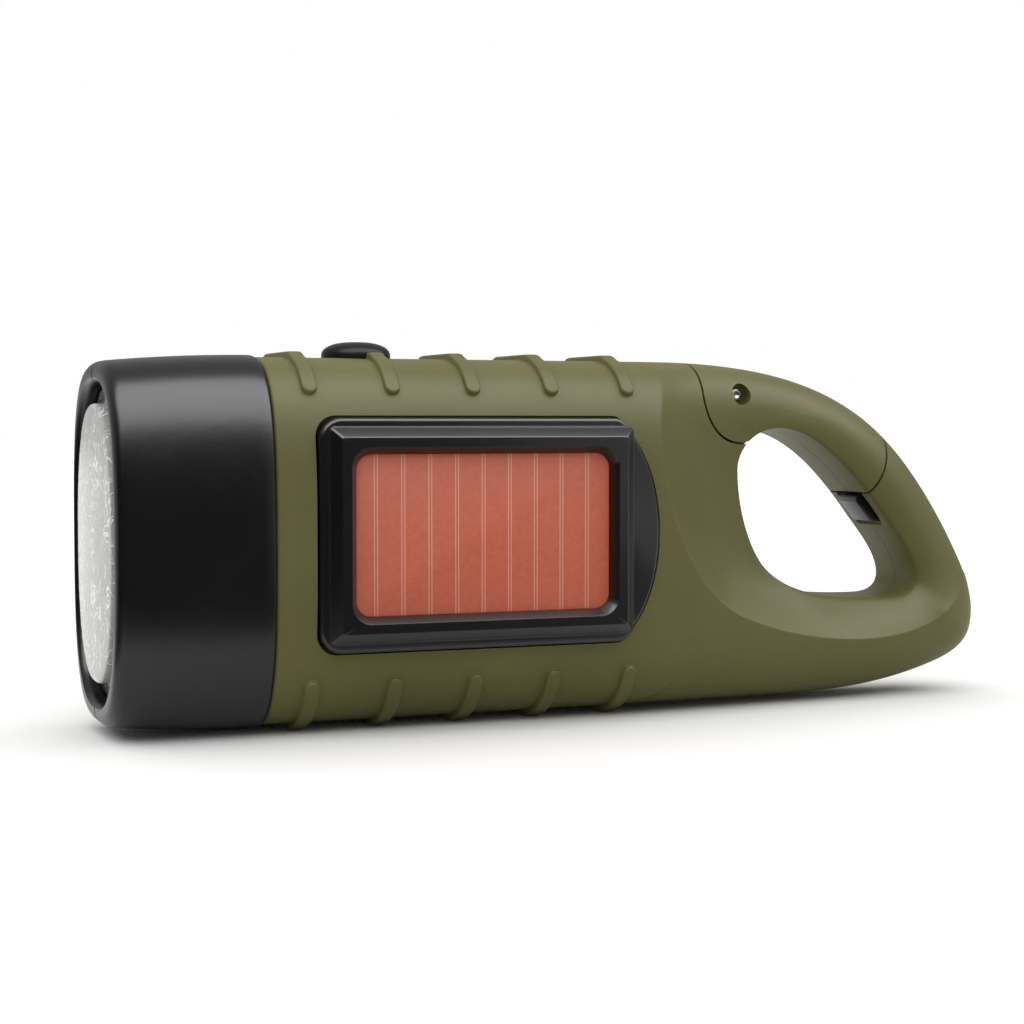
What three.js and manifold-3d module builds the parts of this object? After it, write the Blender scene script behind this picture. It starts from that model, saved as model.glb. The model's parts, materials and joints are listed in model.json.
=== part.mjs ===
// Hand crank torch with a solar cell, a push button and a carabiner loop.
// Millimetres, +Z up. While it is modelled, x runs from the lens lip to the loop's tip,
// y from the solar side to the crank side with the shells' seam at 0, and z from the floor.

import * as THREE from "three";
import { mergeVertices } from "three/addons/utils/BufferGeometryUtils.js";
import Module from "manifold-3d";

const wasm = await Module();
wasm.setup();

// Whole torch
const TORCH_LENGTH = 139.2;
const BODY_HEIGHT = 50.8;
const BODY_THICKNESS = 32.4;
const HEAD_LENGTH = 21.3;
const BODY_LENGTH = 56.1; // the straight body between the head and the loop's end
const TIP_THICKNESS = 18; // what the body's sides taper to at the loop's tip
const SECTION_POWER = 3.3; // superellipse power of the body's section
const SECTION_STEPS = 5; // facets on a quarter of that section
const WALL = 2;
const CLEARANCE = 0.3;
const SEAM = 0.06; // half of the hairline between two shells
const OVERRUN = 3; // how far a cut runs past what it cuts

// Ribs round the top and bottom edges
const RIB_COUNT = 5;
const FIRST_RIB_OFFSET = 5.3; // from the head to the first rib's middle
const LAST_RIB_OFFSET = 3.8; // from the last rib's middle to the loop
const RIB_WIDTH = 2.4;
const RIB_PROUD = 0.75;
const RIB_ROUNDING = 0.6;
const RIB_TOP_DROP = 5.4; // from the top of the body down to a rib's end
const RIB_BOTTOM_RISE = 7.2;
const RIB_FOOT = 12; // flat that the torch stands on
const RIB_RELIEF = 0.05; // how far the inner ribs' feet stay off the table, so it can't rock

// Loop
const LOOP_THICKNESS = 14.8;
const LOOP_EDGE_ROUNDING = 4.6; // round the hole
const LOOP_RIM_ROUNDING = 8; // round the outside
const LOOP_RIM_POWER = 2.2;
const SCOOP_POWER = 1.5; // how hollow the slope from the ridge to the hole is
const HOLE_AHEAD_SHARE = 0.28155; // of the tail's length, from its start to the hole
const HOLE_LENGTH_SHARE = 0.52265; // of the tail's length
const HOLE_RISE_SHARE = 0.28642; // of the body's height, from its bottom to the hole
const HOLE_HEIGHT_SHARE = 0.51969; // of the body's height

// Head
const HEAD_PROUD = 0.3; // how far the head stands over the body
const HEAD_POWER = 3.1;
const HEAD_TAPER = 1.1; // lost at the lip, from top and from bottom
const HEAD_WALL = 2.2;
const LIP_ROUNDING = 1.6;
const LIP_TOP_BAND = 3.65; // from the body's top to the opening
const LIP_SIDE_BAND = 1.65; // from the body's side to the opening
const OPENING_POWER = 2.7;
const SEAT_LEDGE = 1.6; // what the gasket rests on, round the opening
const COLLAR_LENGTH = 6; // the body's collar inside the head

// Lens, reflector and lamps
const LENS_TOP_GAP = 1.55; // from the opening's top to the lens
const LENS_SIDE_GAP = 2.15;
const LENS_RIM = 0.9;
const LENS_DOME = 1.3;
const LENS_FRONT_X = -0.3;
const GASKET_THICKNESS = 0.5;
const GASKET_BAND = 1.1;
const REFLECTOR_FLANGE = 0.8;
const REFLECTOR_DEPTH = 8.4;
const LAMP_COUNT = 3;
const LAMP_ROW_MARGIN = 2.7; // from the opening's ends to the row of bowls
const CUP_RIDGE = 0.5; // between two bowls
const LAMP_DIAMETER = 4.8;
const LAMP_LENGTH = 6.4;
const LAMP_FLANGE = 0.5;
const BOARD_THICKNESS = 1.6;

// Solar panel
const BEZEL_OFFSET = 5.2; // from the head to the bezel
const BEZEL_END_OFFSET = 0.2; // from the bezel's rounded end to the loop
const BEZEL_BULGE = 5.2; // how far its rounded end reaches past its lower corner
const BEZEL_SLANT = 1.3; // how much less its top is long than its bottom
const BEZEL_HEIGHT = 31.6;
const BEZEL_RISE = 1.2; // its middle over the body's middle
const BEZEL_CORNER = 3;
const BEZEL_FRONT = 2.1; // its face over the body's side
const BEZEL_STEP = 0.65;
const BEZEL_STEP_INSETS = [1.4, 2.8];
const BEZEL_BAND = 4.3; // from its edge to the window
const BEZEL_END_BAND = 6.9; // the same at the rounded end
const BEZEL_PLATE = 0.9; // what is left behind the cell
const BEZEL_ROUNDING = 0.35;
const WINDOW_DEPTH = 1.6;
const WINDOW_CORNER = 2.2;
const CELL_THICKNESS = 0.8;
const CELL_GAP = 0.7; // round the cell in its window
const CELL_CORNER = 1.7;
const CELL_PAD_THICKNESS = 0.5;
const CELL_PAD_INSET = 2.5;
const POCKET_WALL = 1.6; // of the shell behind the bezel

// Push button and its switch
const BUTTON_OFFSET = 16; // from the head to the button's middle
const BUTTON_DIAMETER = 9.4;
const BUTTON_FLANGE = 1.1; // its flange's reach and its thickness
const BUTTON_RISE = 2.4;
const BUTTON_TRAVEL = 1;
const PLUNGER_DIAMETER = 2.6;
const SWITCH_SIZE = 6.4;
const SWITCH_HEIGHT = 2.6;
const MAIN_BOARD_GAP = 0.4; // from the screw towers at the head to the board
const MAIN_BOARD_REACH = 13.5; // how far the board runs past the crank's axis
const MAIN_BOARD_DROP = 8.6; // from the body's top to the board
const LEDGE = 2.4;

// Battery
const BATTERY_DIAMETER = 11.4;
const BATTERY_LENGTH = 17.4;
const BATTERY_OFFSET = 18.3; // from the head to its middle
const BATTERY_GAP = 1.4; // from the board's ledges down to its cradle
const BATTERY_DEPTH = 5.1; // from the seam to its axis
const CRADLE_MARGIN = 1.4;
const CRADLE_DEPTH = 4.6;

// Gear train, from the crank to the generator
const GEAR_MODULE = 0.8;
const CRANK_TEETH = 36;
const PINION_TEETH = 8;
const IDLER_TEETH = 24;
const GEAR_WIDTH = 1.8;
const CRANK_GEAR_WIDTH = 2.2;
const GEAR_GAP = 0.6; // between gears and plates, along their axles
const FRAME_START = 1; // from the seam to the inner plate
const FIRST_MESH_DEG = -20;
const SECOND_MESH_DEG = 70;
const THIRD_MESH_DEG = -60;
const AXLE_DIAMETER = 1.6;
const AXLE_PLAY = 0.08;
const PLATE_THICKNESS = 1.1;
const PLATE_CORNER = 4;
const PLATE_START_OFFSET = 5; // from the crank's axis to the plates' end at the head
const PLATE_END_OFFSET = 9.48; // from the rotor's axis to the plates' other end
const PLATE_RISE = 14.4; // from the body's middle
const PLATE_DROP = 17.6;
const POST_DIAMETER = 3.6;
const TOP_POST_OFFSET = 6.18; // two posts from the rotor's axis, and one from the crank's
const TOP_POST_RISE = 7.8;
const LOW_POST_OFFSET = 5.18;
const LOW_POST_DROP = 15.6;
const CRANK_POST_OFFSET = 8.9;
const CRANK_POST_DROP = 15.9;
const FRAME_SCREW_DIAMETER = 1.2;
const FRAME_SCREW_HEAD = 2.8;
const FRAME_SCREW_HEAD_HEIGHT = 0.88;
const FRAME_SCREW_LENGTH = 6;
const CAN_DIAMETER = 20;
const CAN_HEIGHT = 8.5;
const CAN_WALL = 0.8;
const ROTOR_DIAMETER = 12;
const COIL_GAP = 0.6;

// Crank
const CRANK_OFFSET = 16.7; // from the head to the crank's axis
const SHAFT_DIAMETER = 5;
const SHAFT_BORE_DEPTH = 5;
const BOSS_DIAMETER = 14;
const BOSS_PROUD = 0.7;
const BUSH_WALL = 1.2;
const BUSH_FLANGE = 1.2;
const CRANK_GAP = 0.5; // between the boss and the arm
const ARM_RADIUS = 34;
const ARM_THICKNESS = 4;
const ARM_HUB_DIAMETER = 15;
const ARM_END_WIDTH = 13.4;
const ARM_ROUNDING = 0.8;
const CRANK_SCREW_LENGTH = 5.6;
const KNOB_DIAMETER = 7.2;
const KNOB_LENGTH = 16.2;
const KNOB_BASE = 4.2; // from its hinge to the sleeve
const KNOB_CAP = 0.9;
const KNOB_CAP_RIM = 1; // how far the cap stands over the post
const KNOB_POST_DIAMETER = 3.2;
const KNOB_PIN_DIAMETER = 2;
const KNOB_FORK_GAP = 0.5;

// Gate
const PIVOT_OFFSET = 0.5; // from the hole's end to the pivot
const PIVOT_DROP = 4.85; // below the body's top
const HUB_RADIUS = 7.3;
const GATE_REACH_SHARE = 0.8545; // of the hole's length, from the pivot to the gate's tip
const GATE_SEAM = 0.15; // half of the gap round the gate
const PIN_DIAMETER = 2;
const PIN_RECESS = 1.7;
const PIN_HOLE_DIAMETER = 3.3;
const LUG_RADIUS = 3.2;
const LUG_THICKNESS = 1.4;
const LUG_HALF_GAP = 1.5;
const SPRING_WIRE = 0.5;
const SPRING_TURNS = 3;
const SPRING_RADIUS = 1.9;
const GATE_SWING_DEG = 28;
const TONGUE_WIDTH = 9.2;
const TONGUE_LENGTH = 7;

// Screws
const SCREW_HEAD_DIAMETER = 4;
const SCREW_HEAD_HEIGHT = 1.6;
const SCREW_DIAMETER = 2;
const SCREW_LENGTH = 9;
const SCREW_SUNK = 0.9;
const TOWER_DIAMETER = 6.4;
const FRONT_TOWER_OFFSET = 5.6; // from the head
const FRONT_TOWER_RISE = 15.8; // from the body's middle, up and down
const LOW_TOWER_OFFSET = 22.2; // from the crank's axis
const LOW_TOWER_DROP = 18.8;
const REAR_TOWER_OFFSET = 4.6; // from the loop
const REAR_TOWER_RISE = 14.6;
const LOOP_SCREW_SHARES = [0.5631, 0.1378]; // of the tail's length and the body's height
const SLOT_WIDTH = 0.7;

// Sizes that follow from these
const MIDDLE_Z = RIB_PROUD + BODY_HEIGHT / 2;
const TOP_Z = RIB_PROUD + BODY_HEIGHT;
const HALF_THICKNESS = BODY_THICKNESS / 2;
const TAIL_X = HEAD_LENGTH + BODY_LENGTH;
const TAIL_LENGTH = TORCH_LENGTH - TAIL_X;
const HOLE_START_X = TAIL_X + HOLE_AHEAD_SHARE * TAIL_LENGTH;
const HOLE_LENGTH = HOLE_LENGTH_SHARE * TAIL_LENGTH;
const HOLE_BASE_Z = RIB_PROUD + HOLE_RISE_SHARE * BODY_HEIGHT;
const HOLE_HEIGHT = HOLE_HEIGHT_SHARE * BODY_HEIGHT;
const PIVOT_X = HOLE_START_X + PIVOT_OFFSET;
const PIVOT_Z = TOP_Z - PIVOT_DROP;
const GATE_REACH = GATE_REACH_SHARE * HOLE_LENGTH;
const FIRST_RIB_X = HEAD_LENGTH + FIRST_RIB_OFFSET;
const RIB_PITCH = (BODY_LENGTH - FIRST_RIB_OFFSET - LAST_RIB_OFFSET) / (RIB_COUNT - 1);
const OPENING_HEIGHT = BODY_HEIGHT - 2 * LIP_TOP_BAND;
const OPENING_WIDTH = BODY_THICKNESS - 2 * LIP_SIDE_BAND;
const LENS_HEIGHT = OPENING_HEIGHT - 2 * LENS_TOP_GAP;
const LENS_WIDTH = OPENING_WIDTH - 2 * LENS_SIDE_GAP;
const LAMP_PITCH = (OPENING_HEIGHT - 2 * LAMP_ROW_MARGIN) / LAMP_COUNT;
const CUP_MOUTH = LAMP_PITCH - CUP_RIDGE;
const BEZEL_START_X = HEAD_LENGTH + BEZEL_OFFSET;
const BEZEL_LENGTH = BODY_LENGTH - BEZEL_OFFSET - BEZEL_END_OFFSET;
const BUTTON_X = HEAD_LENGTH + BUTTON_OFFSET;
const BATTERY_X = HEAD_LENGTH + BATTERY_OFFSET;
const CRANK_X = HEAD_LENGTH + CRANK_OFFSET;
const FRONT_TOWER_X = HEAD_LENGTH + FRONT_TOWER_OFFSET;
const MAIN_BOARD_START = FRONT_TOWER_X + TOWER_DIAMETER / 2 + MAIN_BOARD_GAP;
const MAIN_BOARD_END = CRANK_X + MAIN_BOARD_REACH;
const CAVITY = HALF_THICKNESS - WALL;
const BEZEL_FACE = HALF_THICKNESS + BEZEL_FRONT;
const CELL_FACE = BEZEL_FACE - WINDOW_DEPTH;
const PAD_FACE = CELL_FACE - CELL_THICKNESS - CLEARANCE;
const WINDOW_FLOOR = PAD_FACE - CELL_PAD_THICKNESS - CLEARANCE;
const BEZEL_BACK = WINDOW_FLOOR - BEZEL_PLATE;
const SOLAR_CAVITY = BEZEL_BACK - CLEARANCE - POCKET_WALL; // depth inside the solar shell
const CRANK_Z = MIDDLE_Z;
const ARM_BACK = HALF_THICKNESS + BOSS_PROUD + CRANK_GAP;
const KNOB_Y = ARM_BACK + KNOB_DIAMETER / 2;
const CRANK_REACH = KNOB_Y + KNOB_DIAMETER / 2;

// A closed geometry as a solid, whichever way its faces were wound.
function solidOf(geometry) {
  const bare = geometry.clone();
  bare.deleteAttribute("normal");
  bare.deleteAttribute("uv");
  const merged = mergeVertices(bare, 1e-4);
  const index = [];
  for (let i = 0; i < merged.index.count; i += 3) {
    const [a, b, c] = [0, 1, 2].map((k) => merged.index.getX(i + k));
    if (a !== b && b !== c && a !== c) index.push(a, b, c);
  }
  const make = (triVerts) =>
    new wasm.Manifold(
      new wasm.Mesh({
        numProp: 3,
        vertProperties: new Float32Array(merged.attributes.position.array),
        triVerts: new Uint32Array(triVerts),
      }),
    );
  const made = make(index);
  return made.volume() < 0 ? make(index.reverse()) : made;
}

// A solid as a flat-shaded geometry.
function geometryOf(solid) {
  const mesh = solid.getMesh();
  const positions = new Float32Array(mesh.numVert * 3);
  for (let i = 0; i < mesh.numVert; i++) {
    for (let k = 0; k < 3; k++) {
      positions[i * 3 + k] = mesh.vertProperties[i * mesh.numProp + k];
    }
  }
  const geometry = new THREE.BufferGeometry();
  geometry.setAttribute("position", new THREE.BufferAttribute(positions, 3));
  geometry.setIndex(new THREE.BufferAttribute(new Uint32Array(mesh.triVerts), 1));
  return geometry.toNonIndexed();
}

const join = (...solids) => solids.reduce((all, next) => all.add(next));
const cut = (solid, ...tools) => tools.reduce((left, tool) => left.subtract(tool), solid);

// Shapes from corners, in a view's two axes.
function polygon(points) {
  return new THREE.Shape(points.map(([u, v]) => new THREE.Vector2(u, v)));
}

function rectangle(u0, v0, u1, v1) {
  return polygon([
    [u0, v0],
    [u1, v0],
    [u1, v1],
    [u0, v1],
  ]);
}

function roundedRectangle(u0, v0, u1, v1, radius) {
  const shape = new THREE.Shape();
  shape.absarc(u1 - radius, v0 + radius, radius, -Math.PI / 2, 0);
  shape.absarc(u1 - radius, v1 - radius, radius, 0, Math.PI / 2);
  shape.absarc(u0 + radius, v1 - radius, radius, Math.PI / 2, Math.PI);
  shape.absarc(u0 + radius, v0 + radius, radius, Math.PI, 1.5 * Math.PI);
  return shape;
}

function disc(u, v, radius) {
  return new THREE.Shape().absarc(u, v, radius, 0, 2 * Math.PI);
}

// Shapes drawn in XZ and pushed along Y, in YZ along X, and in XY along Z.
const TURNS = {
  x: new THREE.Matrix4().makeBasis(
    new THREE.Vector3(0, 1, 0),
    new THREE.Vector3(0, 0, 1),
    new THREE.Vector3(1, 0, 0),
  ),
  y: new THREE.Matrix4().makeBasis(
    new THREE.Vector3(1, 0, 0),
    new THREE.Vector3(0, 0, 1),
    new THREE.Vector3(0, -1, 0),
  ),
  z: new THREE.Matrix4(),
};

function push(axis, shape, from, to, { rounding = 0, steps = 1, curveSegments = 5 } = {}) {
  const low = Math.min(from, to);
  const high = Math.max(from, to);
  const geometry = new THREE.ExtrudeGeometry(shape, {
    depth: high - low - 2 * rounding,
    bevelEnabled: rounding > 0,
    bevelThickness: rounding,
    bevelSize: rounding,
    bevelOffset: -rounding,
    bevelSegments: steps,
    curveSegments,
  });
  geometry.translate(0, 0, axis === "y" ? rounding - high : low + rounding);
  return solidOf(geometry.applyMatrix4(TURNS[axis]));
}

// A profile of [radius, height] turned round an axis.
const SPINS = {
  x: new THREE.Matrix4().makeRotationZ(-Math.PI / 2),
  y: new THREE.Matrix4(),
  z: new THREE.Matrix4().makeRotationX(Math.PI / 2),
};

function turned(axis, profile, segments = 20) {
  const points = profile.map(([radius, height]) => new THREE.Vector2(radius, height));
  return solidOf(new THREE.LatheGeometry(points, segments).applyMatrix4(SPINS[axis]));
}

function rod(axis, diameter, from, to, segments = 16) {
  const radius = diameter / 2;
  const profile = [
    [0, from],
    [radius, from],
    [radius, to],
    [0, to],
  ];
  return turned(axis, profile, segments);
}

function moved(solid, x, y, z) {
  return solid.translate([x, y, z]);
}

// A skin through rings of equal count, closed at both ends on each ring's middle.
function loft(rings) {
  const count = rings[0].length;
  const points = rings.flat();
  const index = [];
  for (let r = 0; r + 1 < rings.length; r++) {
    for (let i = 0; i < count; i++) {
      const a = r * count + i;
      const b = r * count + ((i + 1) % count);
      index.push(a, b, b + count, a, b + count, a + count);
    }
  }
  const cap = (ring, first, flip) => {
    const middle = ring.reduce((sum, p) => sum.add(p), new THREE.Vector3());
    points.push(middle.divideScalar(count));
    for (let i = 0; i < count; i++) {
      const [a, b] = [first + i, first + ((i + 1) % count)];
      index.push(points.length - 1, flip ? b : a, flip ? a : b);
    }
  };
  cap(rings[0], 0, true);
  cap(rings[rings.length - 1], (rings.length - 1) * count, false);
  const geometry = new THREE.BufferGeometry().setFromPoints(points);
  return solidOf(geometry.setIndex(index));
}

// A superellipse ring square to X, about the torch's middle line.
function ovalRing(x, halfWidth, halfHeight, power, count = 24) {
  return Array.from({ length: count }, (unused, i) => {
    const angle = (2 * Math.PI * i) / count;
    const [y, z] = superellipse(angle, halfWidth, halfHeight, power);
    return new THREE.Vector3(x, y, MIDDLE_Z + z);
  });
}

function superellipse(angle, halfWidth, halfHeight, power) {
  const curve = (value) => Math.sign(value) * Math.abs(value) ** (2 / power);
  return [halfWidth * curve(Math.cos(angle)), halfHeight * curve(Math.sin(angle))];
}

// 0 at the edge, 1 at a distance of 1 or more, along a superellipse arch.
function arch(distance, power) {
  const left = 1 - Math.min(1, Math.max(0, distance));
  return (1 - left ** power) ** (1 / power);
}

const mix = (a, b, share) => a + (b - a) * share;

// Outlines in side view, as Bezier stretches. Their points are shares of the size that they follow.

// The tail's outside: shares of the tail's length behind its start, and of the body's height.
const TAIL_START_SHARE = [0.1, 1];
const TAIL_CURVE_SHARES = [
  [[0.43, 1], [0.62, 0.925], [0.761, 0.757]],
  [[0.868, 0.629], [1, 0.373], [1, 0.235]],
  [[1, 0.152], [0.972, 0.108], [0.89, 0.074]],
  [[0.76, 0.023], [0.62, 0], [0.45, 0]],
];

// The hole: shares of its length and height.
const HOLE_START_SHARE = [0, 0.765];
const HOLE_CURVE_SHARES = [
  [[0, 0.865], [0.077, 1], [0.223, 1]],
  [[0.455, 1], [0.687, 0.693], [0.836, 0.455]],
  [[0.91, 0.345], [1, 0.223], [1, 0.11]],
  [[1, 0.034], [0.941, 0], [0.842, 0]],
  [[0.594, 0], [0.285, 0.023], [0.146, 0.2]],
  [[0.065, 0.303], [0, 0.538], [0, 0.765]],
];

// The ridge where the scoop starts: shares as on the tail's outside.
const RIDGE_START_SHARE = [0.05, 1.01];
const RIDGE_CURVE_SHARES = [
  [[0.039, 0.93], [0.008, 0.85], [0.008, 0.773]],
  [[0.008, 0.596], [0.083, 0.389], [0.184, 0.296]],
  [[0.252, 0.235], [0.447, 0.172], [0.625, 0.172]],
  [[0.754, 0.172], [0.875, 0.211], [0.948, 0.34]],
];

const onTail = ([u, v]) => [TAIL_X + u * TAIL_LENGTH, RIB_PROUD + v * BODY_HEIGHT];
const onHole = ([u, v]) => [HOLE_START_X + u * HOLE_LENGTH, HOLE_BASE_Z + v * HOLE_HEIGHT];

function curvePoints(startShare, curveShares, place, divisions) {
  const path = new THREE.Path();
  path.moveTo(...place(startShare));
  for (const [a, b, end] of curveShares) {
    path.bezierCurveTo(...place(a), ...place(b), ...place(end));
  }
  return path.getPoints(divisions).map((point) => [point.x, point.y]);
}

const tailOutline = curvePoints(TAIL_START_SHARE, TAIL_CURVE_SHARES, onTail, 5);
const holeOutline = curvePoints(HOLE_START_SHARE, HOLE_CURVE_SHARES, onHole, 7).slice(0, -1);
const ridgeLine = curvePoints(RIDGE_START_SHARE, RIDGE_CURVE_SHARES, onTail, 8);
const scoopOutline = [
  ...ridgeLine,
  [TORCH_LENGTH + OVERRUN, MIDDLE_Z],
  [TORCH_LENGTH + OVERRUN, TOP_Z + OVERRUN],
  [ridgeLine[0][0], TOP_Z + OVERRUN],
];

// Distance from a point to a chain of straight stretches.
function distanceTo(chain, closed, u, v) {
  let best = Infinity;
  const last = closed ? chain.length : chain.length - 1;
  for (let i = 0; i < last; i++) {
    const [au, av] = chain[i];
    const [bu, bv] = chain[(i + 1) % chain.length];
    const [du, dv] = [bu - au, bv - av];
    const along = ((u - au) * du + (v - av) * dv) / (du * du + dv * dv || 1);
    const share = Math.min(1, Math.max(0, along));
    best = Math.min(best, Math.hypot(u - au - share * du, v - av - share * dv));
  }
  return best;
}

function isInside(chain, u, v) {
  let inside = false;
  for (let i = 0, j = chain.length - 1; i < chain.length; j = i++) {
    const [au, av] = chain[i];
    const [bu, bv] = chain[j];
    if (av > v !== bv > v && u < ((bu - au) * (v - av)) / (bv - av) + au) inside = !inside;
  }
  return inside;
}

const bodyOutline = [[0, TOP_Z], ...tailOutline, [0, RIB_PROUD]];

// Depth of the outside below the seam's plane, at a place in side view.
function depthAt(x, z) {
  const fromRim = distanceTo(bodyOutline, false, x, z);
  const fromHole = distanceTo(holeOutline, true, x, z);
  const taper = Math.max(0, (x - TAIL_X) / TAIL_LENGTH);
  const body = mix(HALF_THICKNESS, TIP_THICKNESS / 2, taper);
  let loopShare = 0;
  if (isInside(scoopOutline, x, z)) {
    const fromRidge = distanceTo(ridgeLine, false, x, z);
    loopShare = 1 - (fromHole / (fromHole + fromRidge || 1)) ** SCOOP_POWER;
  }
  const height = mix(body, LOOP_THICKNESS / 2, loopShare);
  const reach = mix(BODY_HEIGHT / 2, LOOP_RIM_ROUNDING, loopShare);
  const power = mix(SECTION_POWER, LOOP_RIM_POWER, loopShare);
  const face = height * arch(fromRim / reach, power);
  const straight = LOOP_THICKNESS / 2 - LOOP_EDGE_ROUNDING;
  const edge = arch(fromHole / LOOP_EDGE_ROUNDING, 2);
  return Math.min(face, straight + Math.max(0, face - straight) * edge);
}

// Where the section's facets meet the side, from the top to the bottom of the body.
function sectionHeights() {
  const heights = [];
  for (let i = 0; i <= 2 * SECTION_STEPS; i++) {
    const angle = Math.PI / 2 - (Math.PI * i) / (2 * SECTION_STEPS);
    heights.push(MIDDLE_Z + superellipse(angle, 0, BODY_HEIGHT / 2, SECTION_POWER)[1]);
  }
  return heights;
}

// Where a line from a middle point outwards crosses the hole's outline.
function holeCrossing(middle, target) {
  const [mu, mv] = middle;
  const [du, dv] = [target[0] - mu, target[1] - mv];
  for (let i = 0; i < holeOutline.length; i++) {
    const [au, av] = holeOutline[i];
    const [bu, bv] = holeOutline[(i + 1) % holeOutline.length];
    const [eu, ev] = [bu - au, bv - av];
    const scale = du * ev - dv * eu;
    const along = ((au - mu) * ev - (av - mv) * eu) / scale;
    const share = ((au - mu) * dv - (av - mv) * du) / scale;
    if (along > 0 && share >= 0 && share <= 1) return [mu + along * du, mv + along * dv];
  }
  throw new Error("the tail's outline doesn't go round the hole");
}

// Shares along a spoke from the hole to the rim, close together where the surface bends.
const HOLE_SIDE_SHARES = [0, 0.13, 0.45, 1];
const RIM_SIDE_SHARES = [1, 0.5, 0.14, 0];

const SLOPE_SHARES = [0.33, 0.66, 1];
const HOLE_SIDE_LIMIT_SHARE = 0.333; // how much of a short spoke each end may take
const RIM_SIDE_LIMIT_SHARE = 0.4;
const RIM_REACH_SHARE = 0.8;
const NET_MIDDLE_SHARES = [0.48, 0.5]; // of the hole's length and height

function spokeShares(length, ridgeShare, openEnd) {
  const nearHole = Math.min(LOOP_EDGE_ROUNDING, length * HOLE_SIDE_LIMIT_SHARE) / length;
  const first = HOLE_SIDE_SHARES.map((share) => share * nearHole);
  if (openEnd) {
    const slope = SLOPE_SHARES.map((share) => mix(nearHole, ridgeShare, share));
    return [...first, ...slope, mix(ridgeShare, 1, 0.5), 1];
  }
  const rimReach = LOOP_RIM_ROUNDING * RIM_REACH_SHARE;
  const nearRim = Math.min(rimReach, length * RIM_SIDE_LIMIT_SHARE) / length;
  const last = RIM_SIDE_SHARES.map((share) => 1 - share * nearRim);
  return [...first, mix(nearHole, last[0], 0.5), ...last];
}

// The net of places that the shell's outside is drawn on: body rows, then spokes round the hole.
function shellNet() {
  const rows = sectionHeights();
  const outer = [];
  for (let i = rows.length - 1; i > 0; i--) outer.push([TAIL_X, rows[i], true]);
  outer.push([TAIL_X, rows[0], false]);
  for (const [x, z] of tailOutline) outer.push([x, z, false]);
  const middle = onHole(NET_MIDDLE_SHARES);
  const places = [];
  const spokes = outer.map(([x, z, open], i) => {
    const start = holeCrossing(middle, [x, z]);
    const length = Math.hypot(x - start[0], z - start[1]);
    const onSpoke = (share) => [mix(start[0], x, share), mix(start[1], z, share)];
    let ridgeShare = 0.5;
    for (let share = 0.5; share < 0.94; share += 0.02) {
      if (isInside(scoopOutline, ...onSpoke(share))) ridgeShare = share;
    }
    return spokeShares(length, ridgeShare, open && i > 0).map((share) => {
      places.push(onSpoke(share));
      return places.length - 1;
    });
  });
  const faces = [];
  spokes.forEach((spoke, i) => stitch(spoke, spokes[(i + 1) % spokes.length], faces));
  const ends = spokes.slice(0, rows.length).map((spoke) => spoke[spoke.length - 1]);
  const heads = ends.map((place) => {
    places.push([HEAD_LENGTH, places[place][1]]);
    return places.length - 1;
  });
  stitch(heads, ends, faces);
  return { places, faces };
}

// Triangles between two chains of places, side by side.
function stitch(left, right, faces) {
  let [i, j] = [0, 0];
  while (i + 1 < left.length || j + 1 < right.length) {
    const leftShare = (i + 1) / (left.length - 1);
    const rightShare = (j + 1) / (right.length - 1);
    if (j + 1 >= right.length || (i + 1 < left.length && leftShare <= rightShare)) {
      faces.push([left[i], left[i + 1], right[j]]);
      i += 1;
    } else {
      faces.push([left[i], right[j + 1], right[j]]);
      j += 1;
    }
  }
}

// The solid between the seam's plane and the outside, on side -1 (solar) or +1 (crank).
function shellBlock(side) {
  const { places, faces } = shellNet();
  const points = [];
  for (const [x, z] of places) {
    points.push(new THREE.Vector3(x, side * depthOfBody(x, z), z));
    points.push(new THREE.Vector3(x, -side * OVERRUN, z));
  }
  const index = [];
  const edges = new Map();
  for (const face of faces) {
    const [a, b, c] = face.map((place) => 2 * place);
    index.push(a, b, c, a + 1, c + 1, b + 1);
    [[a, b], [b, c], [c, a]].forEach(([from, to]) => {
      if (edges.has(`${to},${from}`)) edges.delete(`${to},${from}`);
      else edges.set(`${from},${to}`, [from, to]);
    });
  }
  for (const [from, to] of edges.values()) {
    index.push(to, from, from + 1, to, from + 1, to + 1);
  }
  const geometry = new THREE.BufferGeometry().setFromPoints(points);
  return solidOf(geometry.setIndex(index)).intersect(halfSpace(side, SEAM));
}

// On the straight body the outside is the section itself.
function depthOfBody(x, z) {
  if (x > TAIL_X) return depthAt(x, z);
  const fromRim = BODY_HEIGHT / 2 - Math.abs(z - MIDDLE_Z);
  return HALF_THICKNESS * arch(fromRim / (BODY_HEIGHT / 2), SECTION_POWER);
}

// A slab on one side of the seam's plane, from a depth to another.
function sidePush(side, shape, from, to, options) {
  return push("y", shape, side * from, side * to, options);
}

// A point of the body's section, moved out from its surface.
function sectionPoint(angle, side, up, out) {
  const [y, z] = superellipse(angle, HALF_THICKNESS, BODY_HEIGHT / 2, SECTION_POWER);
  const lean = 2 - 2 / SECTION_POWER;
  const normal = new THREE.Vector2(
    Math.cos(angle) ** lean / HALF_THICKNESS,
    Math.sin(angle) ** lean / (BODY_HEIGHT / 2),
  ).normalize();
  return [side * (y + out * normal.x), MIDDLE_Z + up * (z + out * normal.y)];
}

// A rib over the top (1) or under the bottom (-1), from the seam to its end on one side.
const RIB_STEPS = 3;

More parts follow.
